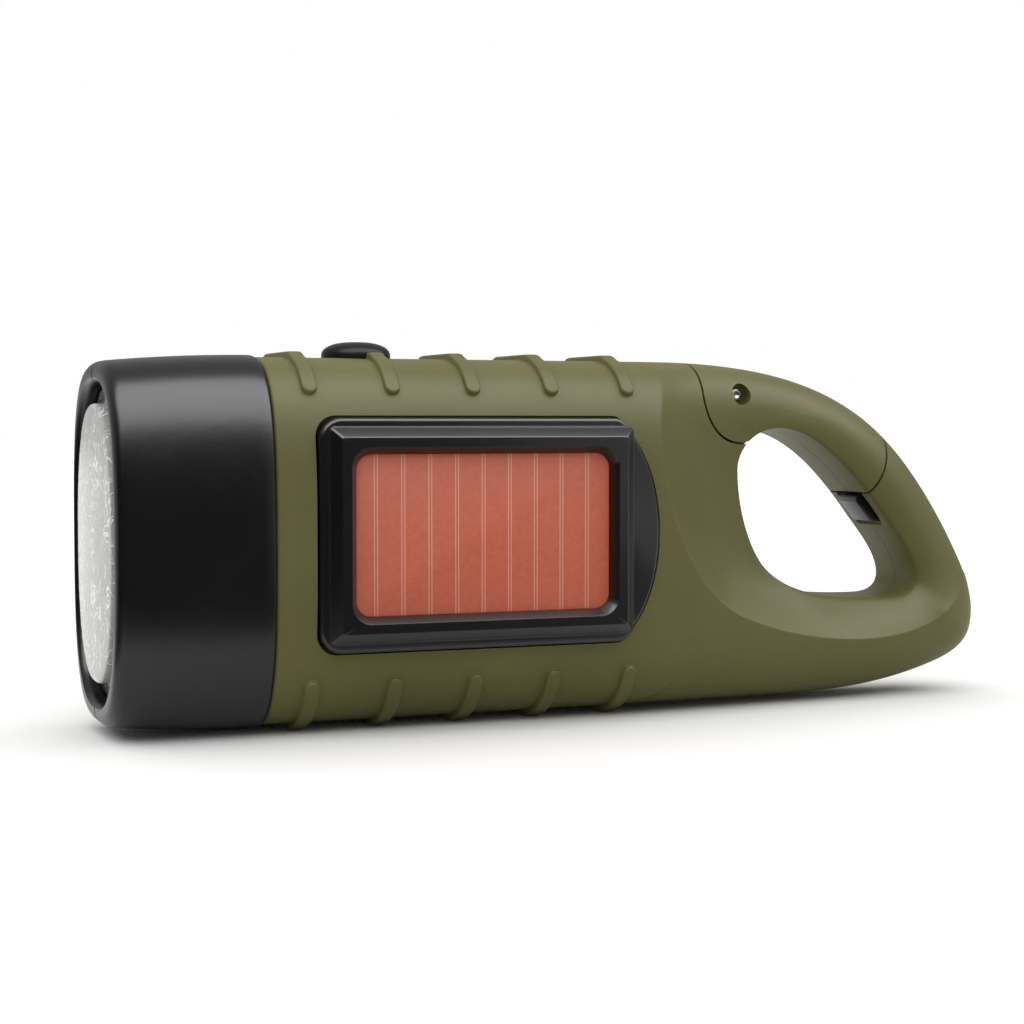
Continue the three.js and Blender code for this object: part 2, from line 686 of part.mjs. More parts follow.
function rib(x, side, up, relief) {
  const drop = up > 0 ? RIB_TOP_DROP : RIB_BOTTOM_RISE;
  const endHeight = 1 - drop / (BODY_HEIGHT / 2);
  const end = Math.asin(endHeight ** (SECTION_POWER / 2));
  const flat = (side * RIB_FOOT) / 2;
  const outside = [];
  const inside = [];
  for (let i = 0; i <= RIB_STEPS; i++) {
    const angle = mix(Math.PI / 2, end, (i / RIB_STEPS) ** 0.8);
    const point = sectionPoint(angle, side, up, RIB_PROUD);
    if (Math.abs(point[0]) > Math.abs(flat)) outside.push(point);
    if (i % RIB_STEPS === 0) inside.push(sectionPoint(angle, side, up, -WALL / 2));
  }
  const crest = MIDDLE_Z + up * (BODY_HEIGHT / 2 + RIB_PROUD - relief);
  outside.unshift([-side * OVERRUN, crest], [flat, crest]);
  inside.unshift([-side * OVERRUN, inside[0][1]]);
  const shape = polygon([...outside, ...inside.reverse()]);
  const half = RIB_WIDTH / 2;
  return push("x", shape, x - half, x + half, { rounding: RIB_ROUNDING });
}

function ribs(side) {
  const made = [];
  for (let i = 0; i < RIB_COUNT; i++) {
    const x = FIRST_RIB_X + i * RIB_PITCH;
    const isInner = i > 0 && i + 1 < RIB_COUNT;
    made.push(rib(x, side, 1, 0), rib(x, side, -1, isInner ? RIB_RELIEF : 0));
  }
  return join(...made).intersect(halfSpace(side, SEAM));
}

// Everything on one side of the seam.
function halfSpace(side, gap = 0) {
  const far = TORCH_LENGTH * 2;
  return push("y", rectangle(-far, -far, far, far), side * gap, side * far);
}

// The half tube that the works sit in.
function bodyCavity(side, depth) {
  const share = (BODY_HEIGHT / 2 - WALL) / (BODY_HEIGHT / 2);
  const outline = sectionHeights().map((z) => {
    const reach = arch(1 - Math.abs(z - MIDDLE_Z) / (BODY_HEIGHT / 2), SECTION_POWER);
    return [side * Math.min(depth, CAVITY * reach), MIDDLE_Z + (z - MIDDLE_Z) * share];
  });
  outline.push([-side * OVERRUN, outline[outline.length - 1][1]]);
  outline.push([-side * OVERRUN, outline[0][1]]);
  return push("x", polygon(outline), HEAD_LENGTH + WALL, TAIL_X - CLEARANCE);
}

// The collar that slides into the head's covers, and the hollow in it.
function collarTube(inset, from, to) {
  const width = HALF_THICKNESS + HEAD_PROUD - HEAD_WALL - CLEARANCE - inset;
  const height = BODY_HEIGHT / 2 + HEAD_PROUD - HEAD_WALL - CLEARANCE - inset;
  return loft([from, to].map((x) => ovalRing(x, width, height, HEAD_POWER)));
}

// Where the gate's tip meets the hole's edge, as an angle about the pivot.
function tipAngle() {
  const reachOf = ([x, z]) => Math.hypot(x - PIVOT_X, z - PIVOT_Z);
  for (let i = 0; i + 1 < holeOutline.length; i++) {
    const [from, to] = [holeOutline[i], holeOutline[i + 1]];
    const [near, far] = [reachOf(from), reachOf(to)];
    if (near < GATE_REACH && far >= GATE_REACH) {
      const share = (GATE_REACH - near) / (far - near);
      return Math.atan2(mix(from[1], to[1], share) - PIVOT_Z, mix(from[0], to[0], share) - PIVOT_X);
    }
  }
  throw new Error("the hole's edge doesn't reach the gate's tip");
}

// Gate's place in side view, grown by a seam.
const GATE_TIP_ANGLE = tipAngle();
const GATE_END_ANGLE = GATE_TIP_ANGLE - 0.04;
const HUB_END_ANGLE = -1.22;
const GATE_INSIDE_SHARES = [0.3, 0.6]; // a place inside the hole, between the gate's ends

function gateShape(grow) {
  const shape = new THREE.Shape();
  const hub = HUB_RADIUS + grow;
  const reach = GATE_REACH + grow;
  const [u, v] = [Math.cos(HUB_END_ANGLE), Math.sin(HUB_END_ANGLE)];
  shape.moveTo(PIVOT_X + hub * u, PIVOT_Z + hub * v);
  shape.absarc(PIVOT_X, PIVOT_Z, hub, HUB_END_ANGLE, -Math.PI, true);
  shape.lineTo(PIVOT_X - hub, TOP_Z + OVERRUN);
  shape.lineTo(PIVOT_X + reach, TOP_Z + OVERRUN);
  shape.absarc(PIVOT_X, PIVOT_Z, reach, 0, GATE_END_ANGLE, true);
  shape.lineTo(...onHole(GATE_INSIDE_SHARES));
  return shape;
}

function gatePrism(grow) {
  return push("y", gateShape(grow), -HALF_THICKNESS, HALF_THICKNESS, { curveSegments: 9 });
}

// The bar from the body to the pivot, between the gate's cheeks.
const LUG_BAR_START = 1.08 * Math.PI;
const LUG_BAR_END = 1.35 * Math.PI;
const LUG_BAR_PLAY = 0.08;

function sector(radius, start, end) {
  const shape = new THREE.Shape();
  shape.absarc(PIVOT_X, PIVOT_Z, radius, start, end);
  return shape.lineTo(PIVOT_X, PIVOT_Z);
}

function lug(side) {
  const to = LUG_HALF_GAP + LUG_THICKNESS;
  const bar = sector(HUB_RADIUS + WALL, LUG_BAR_START, LUG_BAR_END);
  return join(
    sidePush(side, disc(PIVOT_X, PIVOT_Z, LUG_RADIUS), LUG_HALF_GAP, to),
    sidePush(side, bar, LUG_HALF_GAP, to),
  );
}

// Room for the lug inside the gate, over the gate's swing.
function lugRoom() {
  const half = LUG_HALF_GAP + LUG_THICKNESS + CLEARANCE;
  const end = LUG_BAR_END + THREE.MathUtils.degToRad(GATE_SWING_DEG) + LUG_BAR_PLAY;
  const swept = sector(HUB_RADIUS + OVERRUN, LUG_BAR_START - LUG_BAR_PLAY, end);
  return join(
    push("y", disc(PIVOT_X, PIVOT_Z, LUG_RADIUS + CLEARANCE), -half, half),
    push("y", swept, -half, half),
  );
}

// Something that goes through at the gate's pivot.
function atPivot(diameter, from, to) {
  return moved(rod("y", diameter, from, to, 10), PIVOT_X, 0, PIVOT_Z);
}

// The latch tongue, in shares of its length from the gate's inner corner at its tip.
const TONGUE_SHARES = [
  [-0.36, 0.05],
  [-0.8, 0.97],
  [-0.35, 1.28],
  [0.04, 0.55],
  [0.06, 0.02],
  [0.29, -0.2],
  [0.54, -0.43],
  [0.48, -0.56],
  [0.23, -0.59],
  [-0.03, -0.55],
  [-0.34, -0.2],
];
const TONGUE_MIDDLE_SHARES = [-0.15, 0.2];
const NOTCH_SWINGS_DEG = [4, 8];

function tongue(grow) {
  const middle = TONGUE_MIDDLE_SHARES;
  const u = PIVOT_X + GATE_REACH * Math.cos(GATE_TIP_ANGLE);
  const v = PIVOT_Z + GATE_REACH * Math.sin(GATE_TIP_ANGLE);
  const corners = TONGUE_SHARES.map(([a, b]) => {
    const [da, db] = [a - middle[0], b - middle[1]];
    const out = grow / Math.hypot(da, db) / TONGUE_LENGTH;
    return [u + (a + da * out) * TONGUE_LENGTH, v + (b + db * out) * TONGUE_LENGTH];
  });
  const half = TONGUE_WIDTH / 2 + grow;
  return push("y", polygon(corners), -half, half);
}

// A solid turned about the gate's pivot by an angle in degrees.
function swung(solid, degrees) {
  return solid
    .translate([-PIVOT_X, 0, -PIVOT_Z])
    .rotate([0, degrees, 0])
    .translate([PIVOT_X, 0, PIVOT_Z]);
}

// The notch in the loop's wall that lets the tongue out as the gate opens.
function tongueNotch() {
  const room = tongue(CLEARANCE + GATE_SEAM);
  return join(room, ...NOTCH_SWINGS_DEG.map((degrees) => swung(room, degrees)));
}

// Screws through both shells, at places in side view.
const TOWER_SPOTS = [
  [FRONT_TOWER_X, MIDDLE_Z - FRONT_TOWER_RISE],
  [FRONT_TOWER_X, MIDDLE_Z + FRONT_TOWER_RISE],
  [CRANK_X + LOW_TOWER_OFFSET, MIDDLE_Z - LOW_TOWER_DROP],
  [TAIL_X - REAR_TOWER_OFFSET, MIDDLE_Z + REAR_TOWER_RISE],
];
const SCREW_SPOTS = [...TOWER_SPOTS, onTail(LOOP_SCREW_SHARES)];
const TOWER_END_SHARE = 0.97; // of the crank side's cavity
const SLOT_REACH_SHARE = 0.7; // of a screw head's radius

const ROUND = { curveSegments: 4 };

function towers(side, from, to) {
  return join(
    ...TOWER_SPOTS.map(([x, z]) =>
      sidePush(side, disc(x, z, TOWER_DIAMETER / 2), from, to, ROUND),
    ),
  );
}

const screwTop = ([x, z]) => depthOfBody(x, z) - SCREW_SUNK;

function screwBores(side) {
  return join(
    ...SCREW_SPOTS.map((spot) => {
      const [x, z] = spot;
      const bore = SCREW_DIAMETER + 2 * CLEARANCE;
      if (side < 0) return moved(rod("y", bore, -SCREW_LENGTH, OVERRUN, 8), x, 0, z);
      const seat = screwTop(spot) - SCREW_HEAD_HEIGHT - CLEARANCE;
      const room = SCREW_HEAD_DIAMETER + 2 * CLEARANCE;
      return join(
        moved(rod("y", bore, -OVERRUN, HALF_THICKNESS, 8), x, 0, z),
        moved(rod("y", room, seat, HALF_THICKNESS + OVERRUN, 8), x, 0, z),
      );
    }),
  );
}

// A cross-slotted screw along Y whose head's face is at a depth.
function screw(spot, face, headDiameter, headHeight, diameter, length) {
  const [x, z] = spot;
  const radius = headDiameter / 2;
  const profile = [
    [0, face - length],
    [diameter / 2, face - length],
    [diameter / 2, face - headHeight],
    [radius, face - headHeight],
    [radius, face],
    [0, face],
  ];
  const reach = radius * SLOT_REACH_SHARE;
  const half = SLOT_WIDTH / 2;
  const floor = face - headHeight / 2;
  const slots = join(
    push("y", rectangle(-reach, -half, reach, half), floor, face + OVERRUN),
    push("y", rectangle(-half, -reach, half, reach), floor, face + OVERRUN),
  );
  return moved(cut(turned("y", profile, 8), slots), x, 0, z);
}

function housingScrew(spot) {
  const face = screwTop(spot);
  const length = face + SCREW_LENGTH / 2;
  return screw(spot, face, SCREW_HEAD_DIAMETER, SCREW_HEAD_HEIGHT, SCREW_DIAMETER, length);
}

// The button's hole through the top.
function buttonHole() {
  const diameter = BUTTON_DIAMETER + 2 * CLEARANCE;
  const top = TOP_Z + BUTTON_RISE + OVERRUN;
  return moved(rod("z", diameter, TOP_Z - 2 * WALL, top), BUTTON_X, 0, 0);
}

// The bezel's outline in side view, shrunk by an inset. Its rounded end rises and falls in
// shares of its height, and its corners there turn in shares of the corner's radius.
const BEZEL_RISE_SHARE = 0.27;
const BEZEL_FALL_SHARE = 0.29;
const BEZEL_TURN_SHARE = 0.7;
const BEZEL_BEND_SHARE = 4 / 3;

function bezelShape(inset) {
  const left = BEZEL_START_X + inset;
  const right = BEZEL_START_X + BEZEL_LENGTH - BEZEL_BULGE - inset;
  const low = MIDDLE_Z + BEZEL_RISE - BEZEL_HEIGHT / 2 + inset;
  const high = low + BEZEL_HEIGHT - 2 * inset;
  const corner = BEZEL_CORNER;
  const handle = BEZEL_BULGE * BEZEL_BEND_SHARE;
  const turn = corner * BEZEL_TURN_SHARE;
  const shape = new THREE.Shape();
  shape.absarc(left + corner, high - corner, corner, Math.PI / 2, Math.PI);
  shape.absarc(left + corner, low + corner, corner, Math.PI, 1.5 * Math.PI);
  shape.lineTo(right - corner / 2, low);
  shape.quadraticCurveTo(right, low, right + corner / 3, low + turn);
  const rise = (high - low) * BEZEL_RISE_SHARE;
  const fall = (high - low) * BEZEL_FALL_SHARE;
  const top = [right - BEZEL_SLANT + corner / 3, high - turn];
  const bend = handle - corner / 3;
  shape.bezierCurveTo(
    right + bend,
    low + rise,
    right + bend + BEZEL_SLANT / 2,
    high - fall,
    ...top,
  );
  shape.quadraticCurveTo(right - BEZEL_SLANT, high, right - BEZEL_SLANT - corner / 2, high);
  return shape;
}

function bezelRectangle(inset, corner) {
  const left = BEZEL_START_X + inset;
  const right = BEZEL_START_X + BEZEL_LENGTH - BEZEL_END_BAND + BEZEL_BAND - inset;
  const low = MIDDLE_Z + BEZEL_RISE - BEZEL_HEIGHT / 2 + inset;
  return roundedRectangle(left, low, right, low + BEZEL_HEIGHT - 2 * inset, corner);
}

const FEW = { curveSegments: 2 };

function solarBezel() {
  const ledge = BEZEL_FACE - 2 * BEZEL_STEP;
  const middle = BEZEL_FACE - BEZEL_STEP;
  const edge = { rounding: BEZEL_ROUNDING, curveSegments: 4 };
  const [first, second] = BEZEL_STEP_INSETS;
  const body = join(
    sidePush(-1, bezelShape(0), BEZEL_BACK, ledge, edge),
    sidePush(-1, bezelRectangle(first, BEZEL_CORNER / 2), BEZEL_BACK + WALL, middle, FEW),
    sidePush(-1, bezelRectangle(second, BEZEL_CORNER / 2), BEZEL_BACK + WALL, BEZEL_FACE, FEW),
  );
  const window = bezelRectangle(BEZEL_BAND, WINDOW_CORNER);
  return cut(body, sidePush(-1, window, WINDOW_FLOOR, BEZEL_FACE + OVERRUN, FEW));
}

function cellShape(inset) {
  return bezelRectangle(BEZEL_BAND + CELL_GAP + inset, Math.max(CELL_CORNER - inset, WALL / 4));
}

// The button's dome: shares of its radius and of its rise.
const BUTTON_DOME_SHARES = [
  [1, 0.2],
  [0.94, 0.32],
  [0.7, 0.62],
  [0.36, 0.9],
  [0, 1],
];

// How far the cavity's crown falls from the seam to a reach beside it.
function crownDrop(reach) {
  const [top, next] = sectionHeights();
  const depth = CAVITY * arch(1 - (next - MIDDLE_Z) / (BODY_HEIGHT / 2), SECTION_POWER);
  return ((top - next) * reach) / depth;
}

// The button: dome, skirt, flange and plunger, turned about Z.
function powerButton() {
  const radius = BUTTON_DIAMETER / 2;
  const flange = radius + BUTTON_FLANGE;
  const flangeTop = TOP_Z - WALL - crownDrop(flange) - CLEARANCE;
  const profile = [
    [0, flangeTop - BUTTON_FLANGE - 2 * BUTTON_TRAVEL],
    [PLUNGER_DIAMETER / 2, flangeTop - BUTTON_FLANGE - 2 * BUTTON_TRAVEL],
    [PLUNGER_DIAMETER / 2, flangeTop - BUTTON_FLANGE],
    [flange, flangeTop - BUTTON_FLANGE],
    [flange, flangeTop],
    [radius, flangeTop],
    ...BUTTON_DOME_SHARES.map(([out, up]) => [radius * out, TOP_Z + BUTTON_RISE * up]),
  ];
  return moved(turned("z", profile, 16), BUTTON_X, 0, 0);
}

const BOARD_TOP = TOP_Z - MAIN_BOARD_DROP;

function switchBody() {
  const half = SWITCH_SIZE / 2;
  const low = BOARD_TOP + CLEARANCE;
  const box = push("z", rectangle(-half, -half, half, half), low, low + SWITCH_HEIGHT);
  const bore = rod("z", PLUNGER_DIAMETER + 2 * CLEARANCE, low + CLEARANCE, TOP_Z, 12);
  return moved(cut(box, bore), BUTTON_X, 0, 0);
}

function mainBoard() {
  const width = SOLAR_CAVITY - 3 * CLEARANCE;
  const shape = rectangle(MAIN_BOARD_START, -width, MAIN_BOARD_END, width);
  return push("z", shape, BOARD_TOP - BOARD_THICKNESS, BOARD_TOP);
}

// Ledges inside the solar shell that carry the main board.
const LEDGE_TOP = BOARD_TOP - BOARD_THICKNESS - CLEARANCE;
const LEDGE_BOTTOM = LEDGE_TOP - LEDGE;

function boardLedges() {
  const shape = rectangle(MAIN_BOARD_START, LEDGE_BOTTOM, MAIN_BOARD_END, LEDGE_TOP);
  return sidePush(-1, shape, SOLAR_CAVITY - LEDGE, SOLAR_CAVITY + WALL);
}

function shell(side, block) {
  const outside = join(
    block,
    ribs(side),
    collarTube(0, HEAD_LENGTH - COLLAR_LENGTH, HEAD_LENGTH + WALL),
  );
  const hollow = collarTube(WALL, -OVERRUN, HEAD_LENGTH + WALL + OVERRUN);
  const depth = side < 0 ? SOLAR_CAVITY : CAVITY;
  const hollowed = cut(outside.intersect(halfSpace(side, SEAM)), hollow, bodyCavity(side, depth));
  const limit = side < 0 ? SOLAR_CAVITY + WALL / 2 : CAVITY * TOWER_END_SHARE;
  const inside = push(
    "x",
    rectangle(-BODY_THICKNESS, 0, BODY_THICKNESS, TOP_Z),
    HEAD_LENGTH + WALL / 2,
    TAIL_X + WALL,
  ).intersect(block);
  const kept = cut(hollowed, gatePrism(GATE_SEAM), buttonHole(), tongueNotch());
  const posts = towers(side, SEAM, limit).intersect(inside);
  return join(kept, posts, lug(side)).subtract(screwBores(side));
}

function solarShell(block) {
  const pocket = sidePush(-1, bezelShape(-CLEARANCE), BEZEL_BACK - CLEARANCE, BEZEL_FACE);
  const made = join(shell(-1, block), boardLedges().intersect(block));
  return cut(made, pocket, atPivot(PIN_DIAMETER + 2 * AXLE_PLAY, -HALF_THICKNESS, 0));
}

// Boss that the crank's bush sits in, with pads behind the gear frame's posts.
function crankShell(block) {
  const boss = moved(
    rod("y", BOSS_DIAMETER, CAVITY - WALL / 2, HALF_THICKNESS + BOSS_PROUD),
    CRANK_X,
    0,
    CRANK_Z,
  );
  const pads = FRAME_POSTS.map(([x, z]) =>
    sidePush(1, disc(x, z, POST_DIAMETER / 2), FRAME_END + CLEARANCE, CAVITY + WALL / 2, ROUND),
  );
  const made = join(shell(1, block), boss, join(...pads).intersect(block));
  const bore = SHAFT_DIAMETER + 2 * (AXLE_PLAY + BUSH_WALL + CLEARANCE);
  return cut(
    made,
    moved(rod("y", bore, 0, ARM_BACK, 12), CRANK_X, 0, CRANK_Z),
    atPivot(PIN_DIAMETER + 2 * AXLE_PLAY, 0, HALF_THICKNESS),
  );
}

function gateHalf(side, block) {
  const recess = LOOP_THICKNESS / 2 - PIN_RECESS - 2 * CLEARANCE;
  return cut(
    block.intersect(gatePrism(-GATE_SEAM)),
    lugRoom(),
    tongue(CLEARANCE),
    atPivot(PIN_DIAMETER + 2 * AXLE_PLAY, -HALF_THICKNESS, HALF_THICKNESS),
    atPivot(PIN_HOLE_DIAMETER, side * recess, side * HALF_THICKNESS),
  );
}

// A torsion spring round the pin: a wire along a helix, its pitch a share of the wire.
const SPRING_STEPS = 7;
const SPRING_PITCH_SHARE = 1.3;

function gateSpring() {
  const pitch = SPRING_WIRE * SPRING_PITCH_SHARE;
  const points = [];
  const steps = SPRING_TURNS * SPRING_STEPS;
  for (let i = 0; i <= steps; i++) {
    const angle = (i / SPRING_STEPS) * 2 * Math.PI;
    const y = (i / SPRING_STEPS - SPRING_TURNS / 2) * pitch;
    points.push(
      new THREE.Vector3(
        PIVOT_X + SPRING_RADIUS * Math.cos(angle),
        y,
        PIVOT_Z + SPRING_RADIUS * Math.sin(angle),
      ),
    );
  }
  const wire = new THREE.Shape();
  for (let i = 0; i < 4; i++) {
    const angle = (i / 4) * 2 * Math.PI;
    const at = [(SPRING_WIRE / 2) * Math.cos(angle), (SPRING_WIRE / 2) * Math.sin(angle)];
    if (i) wire.lineTo(...at);
    else wire.moveTo(...at);
  }
  const path = new THREE.CatmullRomCurve3(points);
  return solidOf(new THREE.ExtrudeGeometry(wire, { extrudePath: path, steps }));
}

// One half of the head: a cover that narrows towards a rounded lip.
const LIP_SHARES = [
  [0, 1],
  [0.15, 0.47],
  [0.5, 0.13],
  [1, 0],
];
const HEAD_STEPS = 2;

function headCover(side) {
  const width = HALF_THICKNESS + HEAD_PROUD;
  const height = BODY_HEIGHT / 2 + HEAD_PROUD;
  const taperAt = (x) => HEAD_TAPER * (1 - x / HEAD_LENGTH) ** 2;
  const ring = (x, inset) =>
    ovalRing(x, width - inset, height - inset - taperAt(x), HEAD_POWER, 32);
  const rings = LIP_SHARES.map(([along, inwards]) =>
    ring(along * LIP_ROUNDING, inwards * LIP_ROUNDING),
  );
  for (let i = 1; i <= HEAD_STEPS; i++) {
    rings.push(ring(mix(LIP_ROUNDING, HEAD_LENGTH - GATE_SEAM, i / HEAD_STEPS), 0));
  }
  const back = HEAD_LENGTH - COLLAR_LENGTH - CLEARANCE;
  const oval = (from, to, inset) =>
    loft(
      [from, to].map((x) =>
        ovalRing(x, OPENING_WIDTH / 2 - inset, OPENING_HEIGHT / 2 - inset, OPENING_POWER),
      ),
    );
  return cut(
    loft(rings).intersect(halfSpace(side, SEAM)),
    oval(-OVERRUN, SEAT_X, 0),
    oval(SEAT_X - OVERRUN, back + OVERRUN, SEAT_LEDGE),
    collarTube(-CLEARANCE, back, HEAD_LENGTH + OVERRUN),
  );
}

// Positions along the head, from the lens inwards.
const LENS_EDGE_X = LENS_FRONT_X + LENS_DOME;
const FLANGE_X = LENS_EDGE_X + LENS_RIM + CLEARANCE;
const GASKET_X = FLANGE_X + REFLECTOR_FLANGE + CLEARANCE;
const SEAT_X = GASKET_X + GASKET_THICKNESS + CLEARANCE;
const REFLECTOR_BACK = FLANGE_X + REFLECTOR_DEPTH;
const LED_BOARD_X = REFLECTOR_BACK + CLEARANCE + LAMP_FLANGE + CLEARANCE;

const DOME_SHARES = [1, 0.8, 0.5, 0.14];

function lens() {
  const rings = [ovalRing(LENS_EDGE_X + LENS_RIM, LENS_WIDTH / 2, LENS_HEIGHT / 2, OPENING_POWER)];
  for (const share of DOME_SHARES) {
    const x = LENS_EDGE_X - LENS_DOME * (1 - share ** 2);
    const width = (LENS_WIDTH / 2) * share;
    rings.push(ovalRing(x, width, (LENS_HEIGHT / 2) * share, OPENING_POWER));
  }
  return loft(rings);
}

function ovalPlate(from, to, inset) {
  const [width, height] = [OPENING_WIDTH / 2 - inset, OPENING_HEIGHT / 2 - inset];
  return loft([from, to].map((x) => ovalRing(x, width, height, OPENING_POWER)));
}

function lensGasket() {
  const ring = ovalPlate(GASKET_X, GASKET_X + GASKET_THICKNESS, CLEARANCE * 2);
  const hole = ovalPlate(GASKET_X - OVERRUN, GASKET_X + OVERRUN, CLEARANCE + GASKET_BAND + WALL / 2);
  return cut(ring, hole);
}

function lampHeights() {
  const first = MIDDLE_Z - (LAMP_PITCH * (LAMP_COUNT - 1)) / 2;
  return Array.from({ length: LAMP_COUNT }, (unused, i) => first + i * LAMP_PITCH);
}

// A silvered block with a bowl round each lamp: shares of its depth, and of the way from
// its mouth to the lamp.
const BOWL_SHARES = [
  [0, 0],
  [0.45, 0.4],
  [1, 1],
];

function reflector() {
  const inset = GASKET_BAND + WALL / 2 + 2 * CLEARANCE;
  const block = join(
    ovalPlate(FLANGE_X, FLANGE_X + REFLECTOR_FLANGE, CLEARANCE * 2),
    ovalPlate(FLANGE_X, REFLECTOR_BACK, inset),
  );
  const mouth = CUP_MOUTH / 2;
  const throat = LAMP_DIAMETER / 2 + CLEARANCE;
  const profile = [
    [0, FLANGE_X - OVERRUN],
    [mouth, FLANGE_X - OVERRUN],
    ...BOWL_SHARES.map(([along, inwards]) => [
      mix(mouth, throat, inwards),
      FLANGE_X + along * REFLECTOR_DEPTH,
    ]),
    [throat, REFLECTOR_BACK + OVERRUN],
    [0, REFLECTOR_BACK + OVERRUN],
  ];
  const bowls = lampHeights().map((z) => moved(turned("x", profile, 12), 0, 0, z));
  return cut(block, ...bowls);
}

// A lamp's round end, in shares of its radius.
const LAMP_DOME_SHARES = [
  [0, 0],
  [0.5, 0.13],
  [0.87, 0.5],
  [1, 1],
];

function lamp(z) {
  const radius = LAMP_DIAMETER / 2;
  const back = LED_BOARD_X - CLEARANCE;
  const front = back - LAMP_LENGTH;
  const profile = [
    ...LAMP_DOME_SHARES.map(([out, along]) => [radius * out, front + radius * along]),
    [radius, back - LAMP_FLANGE],
    [radius + LAMP_FLANGE, back - LAMP_FLANGE],
    [radius + LAMP_FLANGE, back],
    [0, back],
  ];
  return moved(turned("x", profile, 8), 0, 0, z);
}

function ledBoard() {
  return ovalPlate(LED_BOARD_X, LED_BOARD_X + BOARD_THICKNESS, GASKET_BAND + WALL);
}

// Positions across the gear frame, from the inner plate outwards.
const INNER_PLATE_END = FRAME_START + PLATE_THICKNESS;
const SECOND_GEAR_Y = INNER_PLATE_END + GEAR_GAP;
const FIRST_GEAR_Y = SECOND_GEAR_Y + GEAR_WIDTH + GEAR_GAP;
const CRANK_GEAR_Y = FIRST_GEAR_Y + GEAR_WIDTH + GEAR_GAP;
const OUTER_PLATE_Y = CRANK_GEAR_Y + CRANK_GEAR_WIDTH + GEAR_GAP;
const FRAME_END = OUTER_PLATE_Y + PLATE_THICKNESS;

// Positions of the axles in side view, a mesh apart from each other.
const pitchRadius = (teeth) => (teeth * GEAR_MODULE) / 2;

function stepFrom([x, z], distance, degrees) {
  const angle = THREE.MathUtils.degToRad(degrees);
  return [x + distance * Math.cos(angle), z + distance * Math.sin(angle)];
}

const CRANK_SPOT = [CRANK_X, CRANK_Z];
const IDLER_STEP = pitchRadius(IDLER_TEETH) + pitchRadius(PINION_TEETH);
const CRANK_STEP = pitchRadius(CRANK_TEETH) + pitchRadius(PINION_TEETH);
const FIRST_SPOT = stepFrom(CRANK_SPOT, CRANK_STEP, FIRST_MESH_DEG);
const SECOND_SPOT = stepFrom(FIRST_SPOT, IDLER_STEP, SECOND_MESH_DEG);
const ROTOR_SPOT = stepFrom(SECOND_SPOT, IDLER_STEP, THIRD_MESH_DEG);
const FRAME_POSTS = [
  [ROTOR_SPOT[0] + TOP_POST_OFFSET, MIDDLE_Z + TOP_POST_RISE],
  [ROTOR_SPOT[0] + LOW_POST_OFFSET, MIDDLE_Z - LOW_POST_DROP],
  [CRANK_X + CRANK_POST_OFFSET, MIDDLE_Z - CRANK_POST_DROP],
];

// A gear along Y: its teeth start at an angle, so that the meshes fall into step.
const TOOTH_ROOT_SHARE = 0.31; // shares of a pitch on either side of a tooth's middle
const TOOTH_TIP_SHARE = 0.13;
const ADDENDUM = 0.7; // in modules
const DEDENDUM = 1.05;

function gearShape(teeth, phaseDeg) {
  const root = pitchRadius(teeth) - DEDENDUM * GEAR_MODULE;
  const tip = pitchRadius(teeth) + ADDENDUM * GEAR_MODULE;
  const corners = [];
  for (let i = 0; i < teeth; i++) {
    const middle = THREE.MathUtils.degToRad(phaseDeg + (360 * i) / teeth);
    const pitch = (2 * Math.PI) / teeth;
    for (const [radius, share] of [
      [root, -TOOTH_ROOT_SHARE],
      [tip, -TOOTH_TIP_SHARE],
      [tip, TOOTH_TIP_SHARE],
      [root, TOOTH_ROOT_SHARE],
    ]) {
      const angle = middle + share * pitch;
      corners.push([radius * Math.cos(angle), radius * Math.sin(angle)]);
    }
  }
  return polygon(corners);
}

function gear([x, z], teeth, phaseDeg, from, to) {
  return moved(push("y", gearShape(teeth, phaseDeg), from, to), x, 0, z);
}

function bored(solid, [x, z], diameter) {
  const bore = rod("y", diameter, -HALF_THICKNESS, HALF_THICKNESS * 2, 10);
  return cut(solid, moved(bore, x, 0, z));
}

// A tooth of the driver points along the mesh line, and a gap of the driven gear faces it.
const facing = (meshDeg, teeth) => meshDeg + 180 + 180 / teeth;

// The crank gear's windows: how many, and shares of its pitch radius.
const GEAR_WINDOW_COUNT = 4;
const WINDOW_RING_SHARE = 0.58;
const WINDOW_SIZE_SHARE = 0.5;

function crankGear() {
  const end = CRANK_GEAR_Y + CRANK_GEAR_WIDTH;
  const wheel = gear(CRANK_SPOT, CRANK_TEETH, FIRST_MESH_DEG, CRANK_GEAR_Y, end);
  const radius = pitchRadius(CRANK_TEETH);
  const windows = [];
  for (let i = 0; i < GEAR_WINDOW_COUNT; i++) {
    const degrees = (360 * (i + 0.5)) / GEAR_WINDOW_COUNT;
    const [x, z] = stepFrom(CRANK_SPOT, radius * WINDOW_RING_SHARE, degrees);
    windows.push(moved(rod("y", radius * WINDOW_SIZE_SHARE, 0, HALF_THICKNESS, 8), x, 0, z));
  }
  return bored(cut(wheel, ...windows), CRANK_SPOT, SHAFT_DIAMETER + 2 * CLEARANCE);
}

function idlerGear1() {
  const start = FIRST_GEAR_Y;
  const end = OUTER_PLATE_Y - GEAR_GAP / 2;
  const made = join(
    gear(FIRST_SPOT, IDLER_TEETH, SECOND_MESH_DEG, start, start + GEAR_WIDTH),
    gear(FIRST_SPOT, PINION_TEETH, facing(FIRST_MESH_DEG, PINION_TEETH), start, end),
  );
  return bored(made, FIRST_SPOT, AXLE_DIAMETER + 2 * AXLE_PLAY);
}

